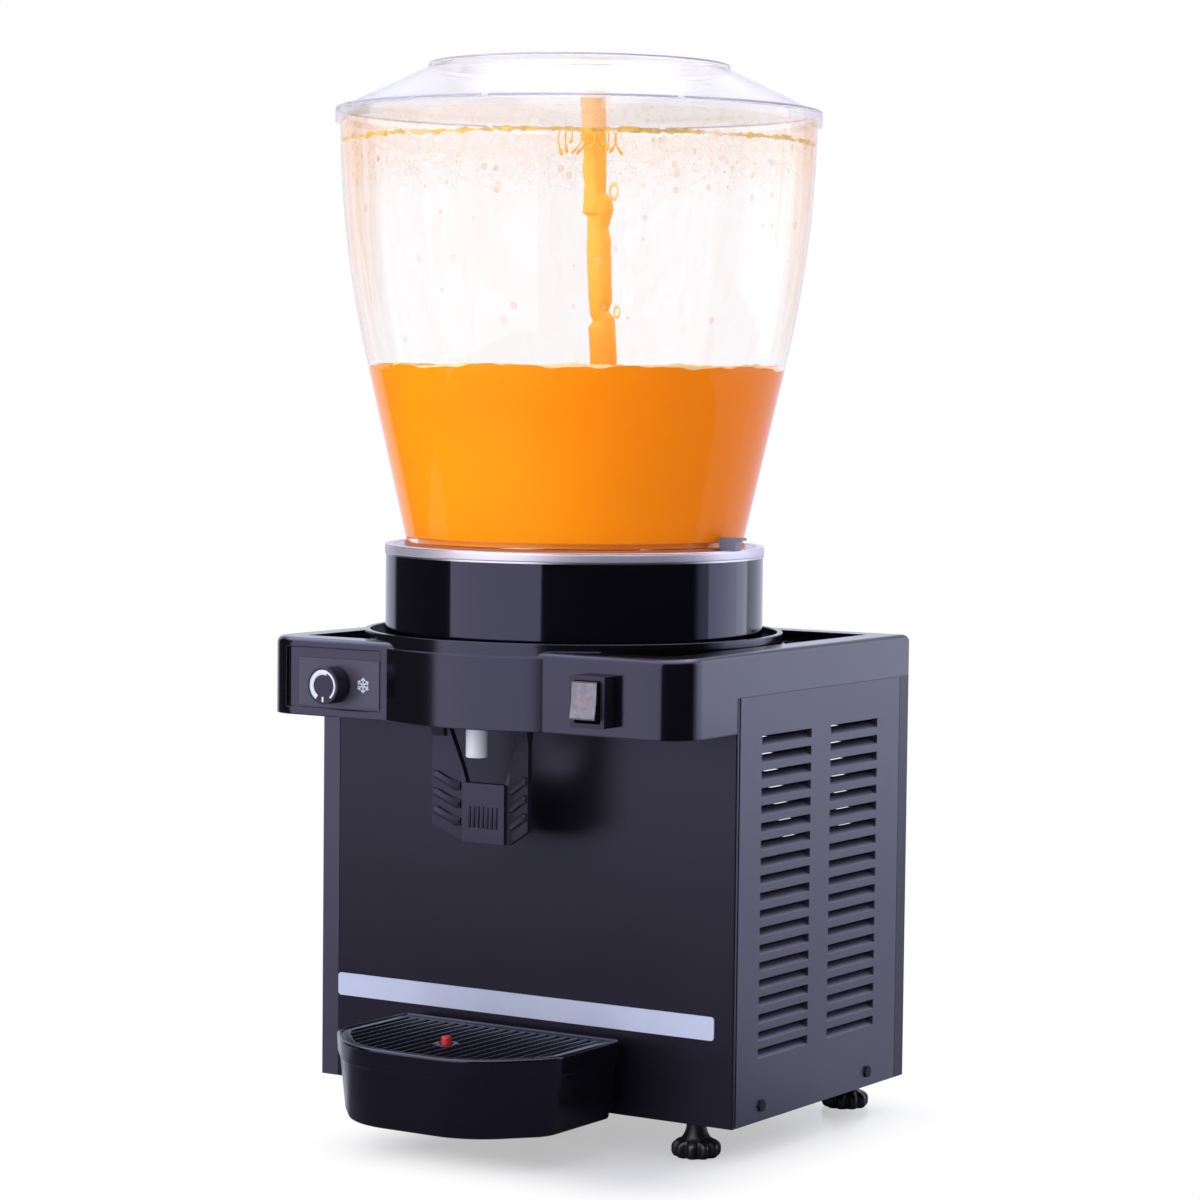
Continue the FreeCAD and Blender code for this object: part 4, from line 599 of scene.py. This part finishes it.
def make_lid():
    """The lid as a thin shell: its solid's outer outline with soft corners, and the same drawn in."""
    r, base = lid_high[0], lid_low[2]
    brim = base + LID_SKIRT
    shoulder, brow, top = brim + LID_SHOULDER, r - LID_BRIM, lid_high[2]
    outer = softened([
        (0.05, top, 0), (LID_DISC_RADIUS, top, 1.4), (LID_DISC_RADIUS, top - LID_DISC_STEP, 1.2),
        (brow, shoulder, 3.0), (r, brim + 0.8, 1.0), (r, base, 0),
    ])
    w = LID_WALL
    inner = softened([
        (r - w, base, 0), (r - w, brim - 0.4, 0.8), (brow - 0.6, shoulder - w, 3.0),
        (LID_DISC_RADIUS - w, top - LID_DISC_STEP - w * 0.9, 1.2), (LID_DISC_RADIUS - w, top - w, 1.0),
        (0.05, top - w, 0),
    ])
    outline = np.concatenate([outer, inner])
    item = solid("lid_shell", turned(outline, ROUND, bowl_axis), "lid", lid_clear)
    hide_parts("lid")


def make_lid_rib():
    """Low oval rib round the lid's brim, in runs with gaps, carrying the brim's painted refraction line."""
    r, level = lid_high[0] - 1.5, lid_low[2] + LID_SKIRT + 1.1
    gap = math.radians(0.9)
    way = np.linspace(gap, 2 * np.pi / LID_RIB_RUNS - gap, 30)[:, None]
    section = full_turn(12)
    for index in range(LID_RIB_RUNS):
        turn = way + 2 * np.pi * index / LID_RIB_RUNS + 0.2
        points = round_axis(r + 1.2 * np.cos(section), turn, level + 0.7 * np.sin(section), 0.0, bowl_axis)
        solid(f"lid_rib_{index + 1}", points, "lid", painted_refraction_grey)


def make_lid_line():
    """Moulded edge of the lid's raised disc, carrying its painted refraction line."""
    section = full_turn(10)
    reach = LID_DISC_RADIUS - 0.7 + 0.55 * np.cos(section)
    outline = np.stack([reach, lid_high[2] - 0.7 + 0.5 * np.sin(section)], -1)
    ring("lid_disc_edge", turned(outline, ROUND, bowl_axis), "lid", painted_refraction_grey)


def make_plate_rim():
    """Rolled rim on the chilled plate's edge, from the shroud's top to just over the plate."""
    top, base = span("bowl_gasket")[0][2] + 0.5, span("tank_shroud")[1][2] + 0.05
    r = span("cold_plate")[1][0] + 0.2
    outline = softened([
        (r - 6.0, top - 0.4, 0), (r - 4.0, top, 1.2), (r, top, 3.0), (r, base + 1.0, 1.6),
        (r - 1.2, base, 0.3), (r - 6.0, base, 0),
    ], 9)
    ring("plate_rim", turned(outline, ROUND, bowl_axis), "cabinet", rolled_steel)


def make_lever_ribs():
    """Rounded ribs on the lever's wings, which climb outwards, and grip ribs on its block."""
    half, low = lever_high[0], lever_low[2]
    root = LEVER_GRIP / 2 + 1.8
    for row in range(3):
        for sign, side in ((-1, "left"), (1, "right")):
            start, end = (root + 2.6, low + 11.2 + row * 10.3), (half - 3.6, low + 17.6 + row * 10.3)
            across, height, lift = pad_points(start, end, 2.4, 1.7)
            depth = LEVER_PLANE - (across - root) / (half - root) * LEVER_SWEEP - lift
            points = np.stack([sign * across, depth, height], -1)
            solid(f"lever_rib_{side}_{row + 1}", points, "lever", lever_plastic)
    for index in range(7):
        x = (index - 3) * 3.1
        across, height, lift = pad_points((x, low + 9.5), (x, low + 20.5), 0.85, 0.75)
        points = np.stack([across, LEVER_FACE - lift, height], -1)
        solid(f"lever_grip_rib_{index + 1}", points, "lever", lever_plastic)


def pad_points(start, end, radius, lift):
    """Across, up and lift of a raised pad with round ends between two points.

    Its rows go from 0.3 mm under the face to the crown, and shrink by a quarter wave.
    """
    way = unit(np.subtract(end, start))
    side = np.array([-way[1], way[0]])
    turn = full_turn(28)
    at_end = (np.cos(turn) > 0)[:, None]
    share = np.array([0, 0, 0.25, 0.5, 0.75, 1.0]) * np.pi / 2
    rise = np.concatenate([[-0.3], np.sin(share[1:]) * lift])
    grown = np.concatenate([[1.0], 0.62 + 0.38 * np.cos(share[1:])])
    edge = (way * np.cos(turn)[:, None] + side * np.sin(turn)[:, None]) * radius
    flat = np.where(at_end, end, start) + edge * grown[:, None, None]
    return flat[..., 0], flat[..., 1], np.broadcast_to(rise[:, None], flat.shape[:2])


def tray_plan(inset):
    """Tray's outline at an inset, from the back left corner along the front: six corners as arcs.

    Four more points on the straight back mark the way for the bracket's arms.
    """
    corners = np.array([
        (-TRAY_HALF, TRAY_BACK), (-TRAY_HALF, TRAY_SHOULDER), (-TRAY_NOSE_HALF, TRAY_NOSE),
        (TRAY_NOSE_HALF, TRAY_NOSE), (TRAY_HALF, TRAY_SHOULDER), (TRAY_HALF, TRAY_BACK),
    ])
    before, after = unit(corners - np.roll(corners, 1, 0)), unit(np.roll(corners, -1, 0) - corners)
    inward = unit(after - before)
    half = np.arccos(-(before * after).sum(1)) / 2
    rounding = np.maximum(np.array(TRAY_ROUNDING) - inset, 0.4)
    centre = corners + inward * ((inset + rounding) / np.sin(half))[:, None]
    start = np.arctan2(-before[:, 0], before[:, 1])
    angle = start[:, None] + (np.pi - 2 * half)[:, None] * np.linspace(0, 1, 12)
    out = np.stack([np.cos(angle), np.sin(angle)], -1)
    edge = (centre[:, None, :] + rounding[:, None, None] * out).reshape(-1, 2)
    sides = ARM_GATE + 0.1, ARM_GATE - 0.1, 0.1 - ARM_GATE, -0.1 - ARM_GATE
    gate = np.array([(x, TRAY_BACK - inset) for x in sides])
    return np.concatenate([edge, gate])


def make_tray():
    """Drip tray: the plan carried along a profile of (inset, height) rows.

    From the basin's floor up the inner wall, over the grille's ledge and the rim, down the band and
    the drafted wall, and under the raised floor. The foot is lifted where the bracket's arms pass.
    """
    (_, _, base), (_, _, top) = span("drip_tray")
    wall, floor, under = TRAY_WALL, TRAY_FLOOR, TRAY_UNDERSIDE
    step = top - TRAY_BAND

    def draft(height, more=0.0):
        return TRAY_BAND_DEPTH + (step - height) * TRAY_DRAFT + more

    rows = [
        (draft(floor, wall + 1.2), floor), (draft(floor, wall + 0.3), floor + 0.4),
        (draft(floor, wall), floor + 1.4), (draft(step, wall), step - 0.5), (draft(step, wall), top - 4.1),
        (draft(step, wall - 0.1), top - 3.8), (wall, top - 3.8), (wall, top - 0.7), (wall - 0.3, top - 0.2),
        (wall - 0.8, top), (1.4, top), (0.8, top - 0.15), (0.3, top - 0.6), (0.05, top - 1.3),
        (0.1, top - 2.2), (0.5, step + 1.2), (0.7, step + 0.4), (1.1, step - 0.1), (1.5, step - 0.5),
        (TRAY_BAND_DEPTH, step - 1.4), (draft(base + 1.5), base + 1.5), (draft(base, 0.35), base + 0.4),
        (draft(base, 1.0), base), (draft(base, wall), base), (draft(under, wall), under - 0.1),
        (draft(under, wall + 0.8), under),
    ]
    grid = []
    for inset, height in rows:
        plan = tray_plan(inset)
        level = np.full(len(plan), height)
        if inset > 1.5 and height < under:
            gate = (np.abs(plan[:, 0]) < ARM_GATE) & (plan[:, 1] > TRAY_BACK - 12)
            level[gate] = under + 0.05
        grid.append(np.concatenate([plan, level[:, None]], axis=1))
    tray = solid("tray_moulding", np.array(grid), "tray", tray_plastic)
    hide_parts("drip_tray")


def make_grille():
    """Grille: a border along the tray's edge, bars with rounded tops, a ring round the float."""
    (_, _, base), (_, _, top) = span("drip_grille")
    rows = [(2.8, base), (2.8, top - 0.4), (3.2, top), (7.4, top), (7.8, top - 0.4), (7.8, base)]
    border = np.array([np.insert(tray_plan(inset), 2, height, axis=1) for inset, height in rows])
    item = ring("grille_border", border, "grille", tray_plastic)
    item.data.set_sharp_from_angle(angle=SHARP_FROM)
    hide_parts("drip_grille")
    float_y = sum(span("level_float"))[1] / 2
    middle = GRILLE_BARS // 2
    spots = (np.arange(GRILLE_BARS) - middle) * GRILLE_PITCH
    edge = tray_plan(6.0)[12:60]
    front, back = np.interp(spots, edge[:, 0], edge[:, 1]), np.full(GRILLE_BARS, TRAY_BACK - 6.5)
    spots, front, back = np.append(spots, 0), np.append(front, front[middle]), np.append(back, float_y - 6)
    front[middle] = float_y + 6
    crown = np.linspace(0, np.pi, 7)
    across = 1.8 * np.concatenate([[-1, 1], np.cos(crown)])
    height = np.concatenate([[base + 0.2] * 2, top - 1.2 + 1.2 * np.sin(crown)])
    ends = np.stack([front, back], 1)[:, :, None]
    points = np.stack(np.broadcast_arrays(spots[:, None, None] + across, ends, height), -1)
    solid("grille_bars", points, "grille", tray_plastic)
    outline = softened([(4.2, base + 0.1, 0), (7.6, base + 0.1, 0.2), (7.6, top + 0.1, 0.5),
                        (4.2, top + 0.1, 0.4), (4.2, base + 0.1, 0)], 4)[:-1]
    ring("grille_float_ring", turned(outline, 48, float_y), "grille", tray_plastic)


def make_float():
    """Red float: a slim pin above its disc, as its solid but with soft edges."""
    low, high = span("level_float")
    outline = softened([(0.05, low[2], 0), (9.0, low[2], 0.6), (9.0, low[2] + 6, 1.0), (3.0, low[2] + 6, 0.4),
                        (3.0, high[2] - 1.0, 1.1), (0.05, high[2] - 1.0, 0)], 5)
    item = solid("float_pin", turned(outline, 40, (low[1] + high[1]) / 2), "float", red_plastic)
    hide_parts("level_float")


def make_spout():
    """The spout as its solid, with a rounded tip and a slightly narrowed mouth."""
    r, tip, top = spout_high[0], spout_low[2], spout_high[2]
    shoulder = top - 3.8
    outline = softened([
        (0.05, tip + 9, 0), (4.2, tip + 9, 0), (4.2, tip, 0.5), (r, tip, 1.8), (r, shoulder, 0.3),
        (5.9, shoulder, 0.1), (5.9, top, 0.2), (0.05, top, 0),
    ])
    points = turned(outline, 64, (spout_low[1] + spout_high[1]) / 2)
    item = solid("spout_tube", points, "cabinet", white_plastic)
    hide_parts("spout")


def make_tap_spring():
    """The plunger's return spring as a coil that fills its solid's height."""
    low, high = span("tap_spring")
    middle, wire, coils, length = (low + high) / 2, 0.55, 5.5, high[2] - low[2]
    share = np.linspace(0, 1, 200)[:, None]
    section = full_turn(10)
    reach = (high[0] - low[0]) / 2 - wire + wire * np.cos(section)
    level = low[2] + wire + (length - 2 * wire) * share + wire * np.sin(section)
    points = round_axis(reach, 2 * np.pi * coils * share, level, middle[0], middle[1])
    coil = solid("tap_spring_coil", points, "cabinet", stainless)
    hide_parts("tap_spring")
    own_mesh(coil)


def make_feet():
    """Levelling feet: a knob with ten lobes, drawn in between them by a cosine, and a flared neck."""
    for place, body in (("front_left", "foot_fl"), ("front_right", "foot_fr"),
                        ("rear_left", "foot_rl"), ("rear_right", "foot_rr")):
        low, high = span(f"foot_{place}")
        middle, r = (low + high) / 2, (high[0] - low[0]) / 2
        outline = softened([
            (0.05, 0, 0), (r - 1.6, 0, 1.4), (r, 2.2, 1.6), (r, 7.2, 1.8), (r - 2.6, 9.4, 2.0),
            (8.6, 10.4, 2.4), (6.0, 15.0, 3.4), (5.5, 20.5, 0.4), (5.5, high[2], 0.3), (0.05, high[2], 0),
        ], 7)
        angle = full_turn(240)
        radius, height = outline[:, :1], outline[:, 1:]
        rim = np.clip((radius - 8.5) / (r - 8.5), 0, 1) * (height < 11)
        radius = radius * (1 - 0.075 * rim * (1 - np.cos(10 * angle)) ** 1.6)
        points = round_axis(radius, angle, height, middle[0], middle[1])
        item = solid(f"foot_knob_{place}", points, body, rubber)
        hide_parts(f"foot_{place}")


# The drink in the bowl


def make_drink():
    """The drink's body, with a gently uneven surface.

    It reaches into the wall by WALL_WETTING, so that no air shows between drink and plastic.
    """
    floor = bowl_low[2] + 0.3
    low = bowl_low[2] + BOWL_WALL + 0.3
    heights = np.concatenate([[floor, low - 0.05], np.linspace(low, FILL_LEVEL, 40)])
    walls = inner_radius(heights) + WALL_WETTING
    walls[:2] = FOOT_MOUTH
    inward = np.linspace(1, 0.002, 30)[1:]
    radii = np.concatenate([[0.2], walls, walls[-1] * inward])
    levels = np.concatenate([[floor], heights, np.full(len(inward), FILL_LEVEL)])
    points = turned(np.stack([radii, levels], -1), ROUND, bowl_axis)
    angle = full_turn(ROUND)
    near_top = np.clip((points[..., 2] - FILL_LEVEL + 6) / 6, 0, 1)
    swell = 1.3 * ripple(angle * 3, radii[:, None] * 0.06, 3, 1.0)
    swell = swell + 0.7 * ripple(angle * 9, radii[:, None] * 0.1, 5, 1.0)
    points[..., 2] += near_top * swell
    solid("drink_body", points, "bowl", drink)


def make_jet():
    """The jet thrown up to the lid: a column that leans a little, with two small loops at its right.

    Its reach to the right and to the left, as the camera sees it, follows two outlines of (height,
    reach) points, plus a fine ripple.
    """
    share = np.linspace(0, 1, 320)[:, None]
    low, high = FILL_LEVEL - 6, lid_low[2] + 21
    angle = full_turn(72)
    height = low + (high - low) * share

    def lean(part):
        return pump_axis + (bowl_axis + JET_LEAN - pump_axis) * part

    right_reach = np.array([
        (446, 8.2), (477, 8.2), (481, 8.0), (485, 4.6), (490, 7.0), (500, 7.4), (527, 7.6), (534, 6.0),
        (545, 9.2), (550, 8.6), (555, 4.4), (563, 5.2), (585, 6.2), (600, 7.0), (620, 7.0),
    ])
    left_reach = np.array([
        (446, 7.8), (475, 7.9), (479, 5.0), (483, 6.6), (520, 7.0), (541, 6.4), (543, 9.4), (560, 7.8),
        (568, 9.0), (575, 7.6), (600, 7.8), (620, 7.8),
    ])
    toward = math.radians(CAMERA_TURN - 90)
    radius = JET_RADIUS
    for reach, side in ((right_reach, -1.5), (left_reach, 1.5)):
        facing = np.clip(np.cos(angle - toward + side), 0, 1)
        radius = radius + (np.interp(height, *reach.T) - JET_RADIUS) * facing ** 0.6
    radius = radius + 0.22 * ripple(angle * 2, height, 12, 5.0) + 0.2 * ripple(angle * 3, height, 14, 1.5)
    points = round_axis(radius, angle, height, 0.5 * np.sin(height / 17.0), lean(share))
    solid("drink_jet", points, "bowl", drink_spray)
    across = math.cos(toward + 1.5), math.sin(toward + 1.5)
    ahead = math.cos(toward), math.sin(toward)
    turn, section = full_turn(28)[:, None], full_turn(10)
    for name, off, level, reach, thick in (("drink_loop", 10.0, 556.0, 2.9, 1.0),
                                           ("drink_loop_small", 9.6, 484.5, 2.1, 0.7)):
        out = reach + thick * np.cos(section)
        side = off + out * np.cos(turn) * 0.8
        near = thick * np.sin(section)
        middle = lean((level - low) / (high - low))
        x, y = across[0] * side + ahead[0] * near, middle + across[1] * side + ahead[1] * near
        points = np.stack([x, y, level + out * np.sin(turn) * 1.5], -1)
        ring(name, points, "bowl", drink_foam)


def make_drips():
    """Drips under the splash level: curved threads that end in a bead."""
    dice = np.random.default_rng(41)
    across = math.cos(math.radians(CAMERA_TURN)), math.sin(math.radians(CAMERA_TURN))
    steps = np.linspace(0, 1, 18)[:, None]
    section = full_turn(10)
    offset = np.array([-17.5, -14.0, -11.0, -8.0, -5.2, -2.0, 1.5, 4.6, 7.4, 10.4, 13.6, 17.0])[:, None, None]
    drop = dice.uniform(7, 16, offset.shape)
    sway = dice.uniform(-3.4, 3.4, offset.shape)
    ahead = dice.uniform(6, 12, offset.shape)
    bead = 0.5 + 0.7 * np.exp(-((steps - 0.85) / 0.14) ** 2)
    radius = bead * np.clip((1.02 - steps) * 14, 0.05, 1)
    side = offset + sway * np.sin(steps * 4.2)
    x = across[0] * side + NEARER[0] * ahead
    y = bowl_axis + 12 + across[1] * side + NEARER[1] * ahead
    points = round_axis(radius, section, SPLASH_LEVEL + 8.5 - drop * steps, x, y)
    solid("drink_drips", points, "bowl", drink_spray)


def make_foam():
    """Pale foam round the drink's edge, with an uneven crest that is higher on one side."""
    angle = full_turn(320)[None]
    share = np.linspace(0, 1, 5)[:, None]
    crest = 1.2 + 1.1 * ripple(angle * 6, 0 * angle, 31, 1.0) + 0.8 * ripple(angle * 17, 0 * angle, 33, 1.0)
    crest = np.clip(crest + 0.9 * np.cos(angle - math.radians(10)), 0.3, 4.5)
    height = FILL_LEVEL - 1.6 + (crest + 1.2) * share
    reach = inner_radius(height) - FOAM_GAP - 1.4 * share ** 3
    inner, foot = reach[-1:] - 6, reach[:1] - 6
    radius = np.concatenate([reach, inner, foot])
    inner_level, foot_level = np.full_like(inner, FILL_LEVEL - 1.4), np.full_like(foot, FILL_LEVEL - 2.4)
    height = np.concatenate([height, inner_level, foot_level])
    ring("drink_foam", round_axis(radius, angle, height, 0.0, bowl_axis), "bowl", drink_foam)


def make_film():
    """The film of splashed drink: a sheet that reaches into the bowl's inner wall by WALL_WETTING."""
    heights = np.linspace(FILL_LEVEL + 2.0, bowl_high[2] - 0.6, 90)
    outline = np.stack([inner_radius(heights) + WALL_WETTING, heights], -1)
    mesh = sheet_mesh("drink_film", turned(outline, ROUND, bowl_axis))
    mesh.flip_normals()
    piece("drink_film", mesh, "bowl", drink_film)


def make_drops():
    """Drops on the bowl's inner wall: shallow domes that sag a little.

    The attribute "rim" goes from 0 at the crown to 1 at the foot, for the finish.
    """
    dice = np.random.default_rng(27)
    count = 80
    turn = dice.uniform(0, 2 * np.pi, (count, 1, 1))
    height = np.where(dice.uniform(size=count) < 0.6, SPLASH_LEVEL - dice.exponential(14, count) - 3,
                      dice.uniform(FILL_LEVEL + 14, SPLASH_LEVEL - 6, count))
    height = np.clip(height, FILL_LEVEL + 10, SPLASH_LEVEL - 3)[:, None, None]
    size = dice.uniform(0.8, 2.1, (count, 1, 1))
    rows = np.linspace(0.04, 1, 7)[:, None]
    edge = full_turn(16)
    spread = np.sin(rows * np.pi / 2) * size
    lift = np.cos(rows * np.pi / 2) * size * 0.3
    sag = 1 + 0.3 * (np.sin(edge) < 0)
    up = spread * np.sin(edge) * sag + height
    wall = inner_radius(up) - 0.02 - lift
    way = turn + spread * np.cos(edge) / wall
    points = round_axis(wall, way, up, 0.0, bowl_axis)
    mesh = solid_mesh("drink_drops", points)
    rim = mesh.attributes.new("rim", "FLOAT", "POINT")
    rim.data.foreach_set("value", np.broadcast_to(rows, points.shape[:3]).ravel().astype(np.float32))
    piece("drink_drops", mesh, "bowl", drop_finish)


# Signs on the controls


def sign(name, mesh, body, material):
    """A flat sign with a thickness."""
    thick = piece(name, mesh, body, material).modifiers.new("thickness", "SOLIDIFY")
    thick.thickness = SIGN_THICKNESS * MM
    thick.offset = 0


def flat_strokes(name, strokes, wide, y, body, material):
    """Raised strokes in the plane Y = y, each a bar between two (x, z) points."""
    ends = np.array(strokes, float)
    way = unit(ends[:, 1] - ends[:, 0])
    side = np.stack([-way[:, 1], way[:, 0]], -1) * wide / 2
    corners = [ends[:, 0] + side, ends[:, 0] - side, ends[:, 1] - side, ends[:, 1] + side]
    points = np.insert(np.stack(corners, 1).reshape(-1, 2), 1, y, axis=1)
    mesh = bpy.data.meshes.new(name)
    mesh.from_pydata((points * MM).tolist(), [], np.arange(len(points)).reshape(-1, 4).tolist())
    sign(name, mesh, body, material)


def snowflake(x, z, reach):
    """Strokes of a plain six-armed snowflake."""
    turns = np.radians(90 + 60 * np.arange(6))
    tips = np.stack([x + reach * np.cos(turns), z + reach * np.sin(turns)], -1)
    strokes = [(tips[arm], tips[arm + 3]) for arm in range(3)]
    for turn in turns:
        root = np.array([x + 0.55 * reach * math.cos(turn), z + 0.55 * reach * math.sin(turn)])
        for lean in (-50, 50):
            barb = turn + math.radians(lean)
            strokes.append((root, root + 0.38 * reach * np.array([math.cos(barb), math.sin(barb)])))
    return strokes


def arc_band(name, x, z, radius, wide, start, end, y, body, material):
    """A flat ring sector in the plane Y = y, its degrees counted from +X towards +Z."""
    turn = np.radians(np.linspace(start, end, 72))
    reach = np.array([radius - wide / 2, radius + wide / 2])[:, None]
    points = np.stack([x + reach * np.cos(turn), np.full((2, 72), y), z + reach * np.sin(turn)], -1)
    sign(name, sheet_mesh(name, points, False), body, material)


def make_signs():
    """Snowflake and scale mark on the control plate, white arc and pointer line on the knob."""
    plate_y, knob_y = span("control_plate")[0][1] - 0.08, knob_low[1] - 0.08
    x, z = (knob_low[0] + knob_high[0]) / 2, (knob_low[2] + knob_high[2]) / 2
    flat_strokes("snowflake_sign", snowflake(-72.0, 265.5, 4.4), 0.8, plate_y, "cabinet", print_white)
    flat_strokes("knob_scale_mark", [((-110.6, 266), (-107.8, 266))], 1.2, plate_y, "cabinet", print_cream)
    arc_band("knob_arc", x, z, 7.9, 2.9, 68, 238, knob_y, "knob", print_white)
    arc_band("knob_arc_thin", x, z, 8.5, 1.3, -52, 68, knob_y, "knob", print_white)
    flat_strokes("knob_pointer", [((x, z - 9.4), (x, z - 6.4))], 1.2, knob_y, "knob", print_white)


# Studio and camera


def make_camera():
    """Camera to the front right, tilted down and rolled slightly."""
    turn, pitch, roll = (math.radians(v) for v in (CAMERA_TURN, CAMERA_PITCH, CAMERA_ROLL))
    reach = math.cos(pitch)
    ahead = Vector((-math.sin(turn) * reach, math.cos(turn) * reach, -math.sin(pitch)))
    level = Vector((math.cos(turn), math.sin(turn), 0))
    lift = level.cross(ahead)
    right = level * math.cos(roll) + lift * math.sin(roll)
    up = lift * math.cos(roll) - level * math.sin(roll)
    data = bpy.data.cameras.new("camera")
    data.lens = CAMERA_LENS
    data.sensor_width = 36.0
    data.clip_start = 0.05
    camera = added("camera", data)
    axes = Matrix((right, up, -ahead)).transposed().to_4x4()
    camera.matrix_world = Matrix.Translation(Vector(CAMERA_PLACE) * MM) @ axes
    bpy.context.scene.camera = camera


def lamp(name, bearing, distance, height, wide, tall, watts, colour=(1, 1, 1)):
    """A soft lamp that faces the object, its bearing in degrees from the front towards the right."""
    turn = math.radians(bearing)
    place = Vector((distance * math.sin(turn), -distance * math.cos(turn), height))
    data = bpy.data.lights.new(name, "AREA")
    data.shape = "RECTANGLE"
    data.size, data.size_y = wide * MM, tall * MM
    data.energy = watts
    data.color = colour
    item = added(name, data)
    ahead = (Vector((0, 0, 330)) - place).normalized()
    facing = ahead.to_track_quat("-Z", "Y").to_matrix().to_4x4()
    item.matrix_world = Matrix.Translation(place * MM) @ facing
    item.visible_camera = False


def shown_rays(tree):
    """The Light Path outputs, and a mask of the camera's rays, straight or through clear plastic."""
    rays = node(tree, "LightPath").outputs
    return rays, maths(tree, "MAXIMUM", rays["Is Camera Ray"], rays["Is Transmission Ray"])


def make_world():
    """Surroundings: white to the camera, mirrored as a pale wall behind and a pale ceiling, else dark."""
    world = bpy.data.worlds.new("studio")
    bpy.context.scene.world = world
    world.use_nodes = True
    tree = world.node_tree
    tree.nodes.clear()
    way = node(tree, "TexCoord").outputs["Generated"]
    level_way = vectors(tree, "NORMALIZE", vectors(tree, "MULTIPLY", way, (1, 1, 0)))
    bearing, edge = math.radians(183), math.cos(math.radians(70))
    facing = vectors(tree, "DOT_PRODUCT", level_way, (math.sin(bearing), -math.cos(bearing), 0))
    wall = ramp(tree, facing, edge - 0.06, edge + 0.06, 0.05, 1.0)
    ceiling = ramp(tree, part_of(tree, way, "Z"), 0.5, 0.75, 0.0, 4.2)
    mirrored = maths(tree, "MAXIMUM", wall, ceiling)
    rays, shown = shown_rays(tree)
    soft = node(tree, "Mix", {"Factor": rays["Is Glossy Ray"], "A": 0.38, "B": mirrored})
    level = node(tree, "Mix", {"Factor": shown, "A": soft.outputs["Result"], "B": 1.0})
    tint = {"Factor": shown, "A": (0.86, 0.88, 1.08, 1), "B": (1, 1, 1, 1)}
    colour = node(tree, "Mix", tint, data_type="RGBA").outputs["Result"]
    light = node(tree, "Background", {"Color": colour, "Strength": level.outputs["Result"]})
    node(tree, "OutputWorld", {"Surface": light.outputs["Background"]})


def make_floor():
    """Round floor: plain white but for a shadow and a faint mirroring close to the object.

    Its mask is the distance to a rectangle under the object, so the shadow fades out within a few
    centimetres. For mirrored rays the floor is dark in front and pale behind.
    """
    mesh = sheet_mesh("floor", turned([(1, 0), (200, 0), (400, 0), (900, 0), (1350, 0)], 96))
    floor = added("floor", mesh)
    material = bpy.data.materials.new("floor")
    material.use_nodes = True
    tree = material.node_tree
    tree.nodes.clear()
    place = object_place(tree)
    centre, half = (0.045, -0.045, 0), (0.065, 0.105, 1)
    folded = vectors(tree, "ABSOLUTE", vectors(tree, "SUBTRACT", place, centre))
    beyond = vectors(tree, "MAXIMUM", vectors(tree, "SUBTRACT", folded, half), (0, 0, 0))
    off = vectors(tree, "LENGTH", beyond)
    rays, shown = shown_rays(tree)
    share = maths(tree, "MULTIPLY", shown, ramp(tree, off, 0.0, 0.085, 0.46, 1.0))
    reach = vectors(tree, "LENGTH", place)
    front = blend(tree, ramp(tree, reach, 0.35, 0.75), (128, 126, 142), (12, 11, 16))
    behind = vectors(tree, "DOT_PRODUCT", place, (-0.6, 1, 0))
    pale = blend(tree, ramp(tree, behind, -0.10, 0.0), front, (236, 236, 246))
    colour = blend(tree, rays["Is Glossy Ray"], (244, 245, 252), pale)
    matt = node(tree, "BsdfDiffuse", {"Color": colour}).outputs["BSDF"]
    sheen = node(tree, "BsdfGlossy", {"Color": (1, 1, 1, 1), "Roughness": 0.2}).outputs["BSDF"]
    top = node(tree, "MixShader", {"Fac": maths(tree, "MULTIPLY", shown, 0.3), 1: matt, 2: sheen})
    glow = node(tree, "Emission").outputs["Emission"]
    mix = node(tree, "MixShader", {"Fac": share, 1: top.outputs["Shader"], 2: glow})
    node(tree, "OutputMaterial", {"Surface": mix.outputs["Shader"]})
    mesh.materials.append(material)


make_camera()
make_world()
make_floor()
# Lamps: bearing, distance, height above the floor, width, height, watts, colour
lamp("soft_box", -15.5, 2200, 700, 2550, 2600, 51, (0.98, 0.96, 1.0))
lamp("side_box", 140, 2400, 800, 1900, 1700, 16, (0.82, 0.86, 1.0))
lamp("top_box", 150, 300, 2400, 2200, 2200, 26)
dress_cad_nodes()
make_lid()
make_lid_rib()
make_lid_line()
make_plate_rim()
make_lever_ribs()
make_tray()
make_grille()
make_float()
make_spout()
make_tap_spring()
make_feet()
make_drink()
make_jet()
make_drips()
make_foam()
make_film()
make_drops()
make_signs()

bpy.context.scene.view_settings.view_transform = "Standard"
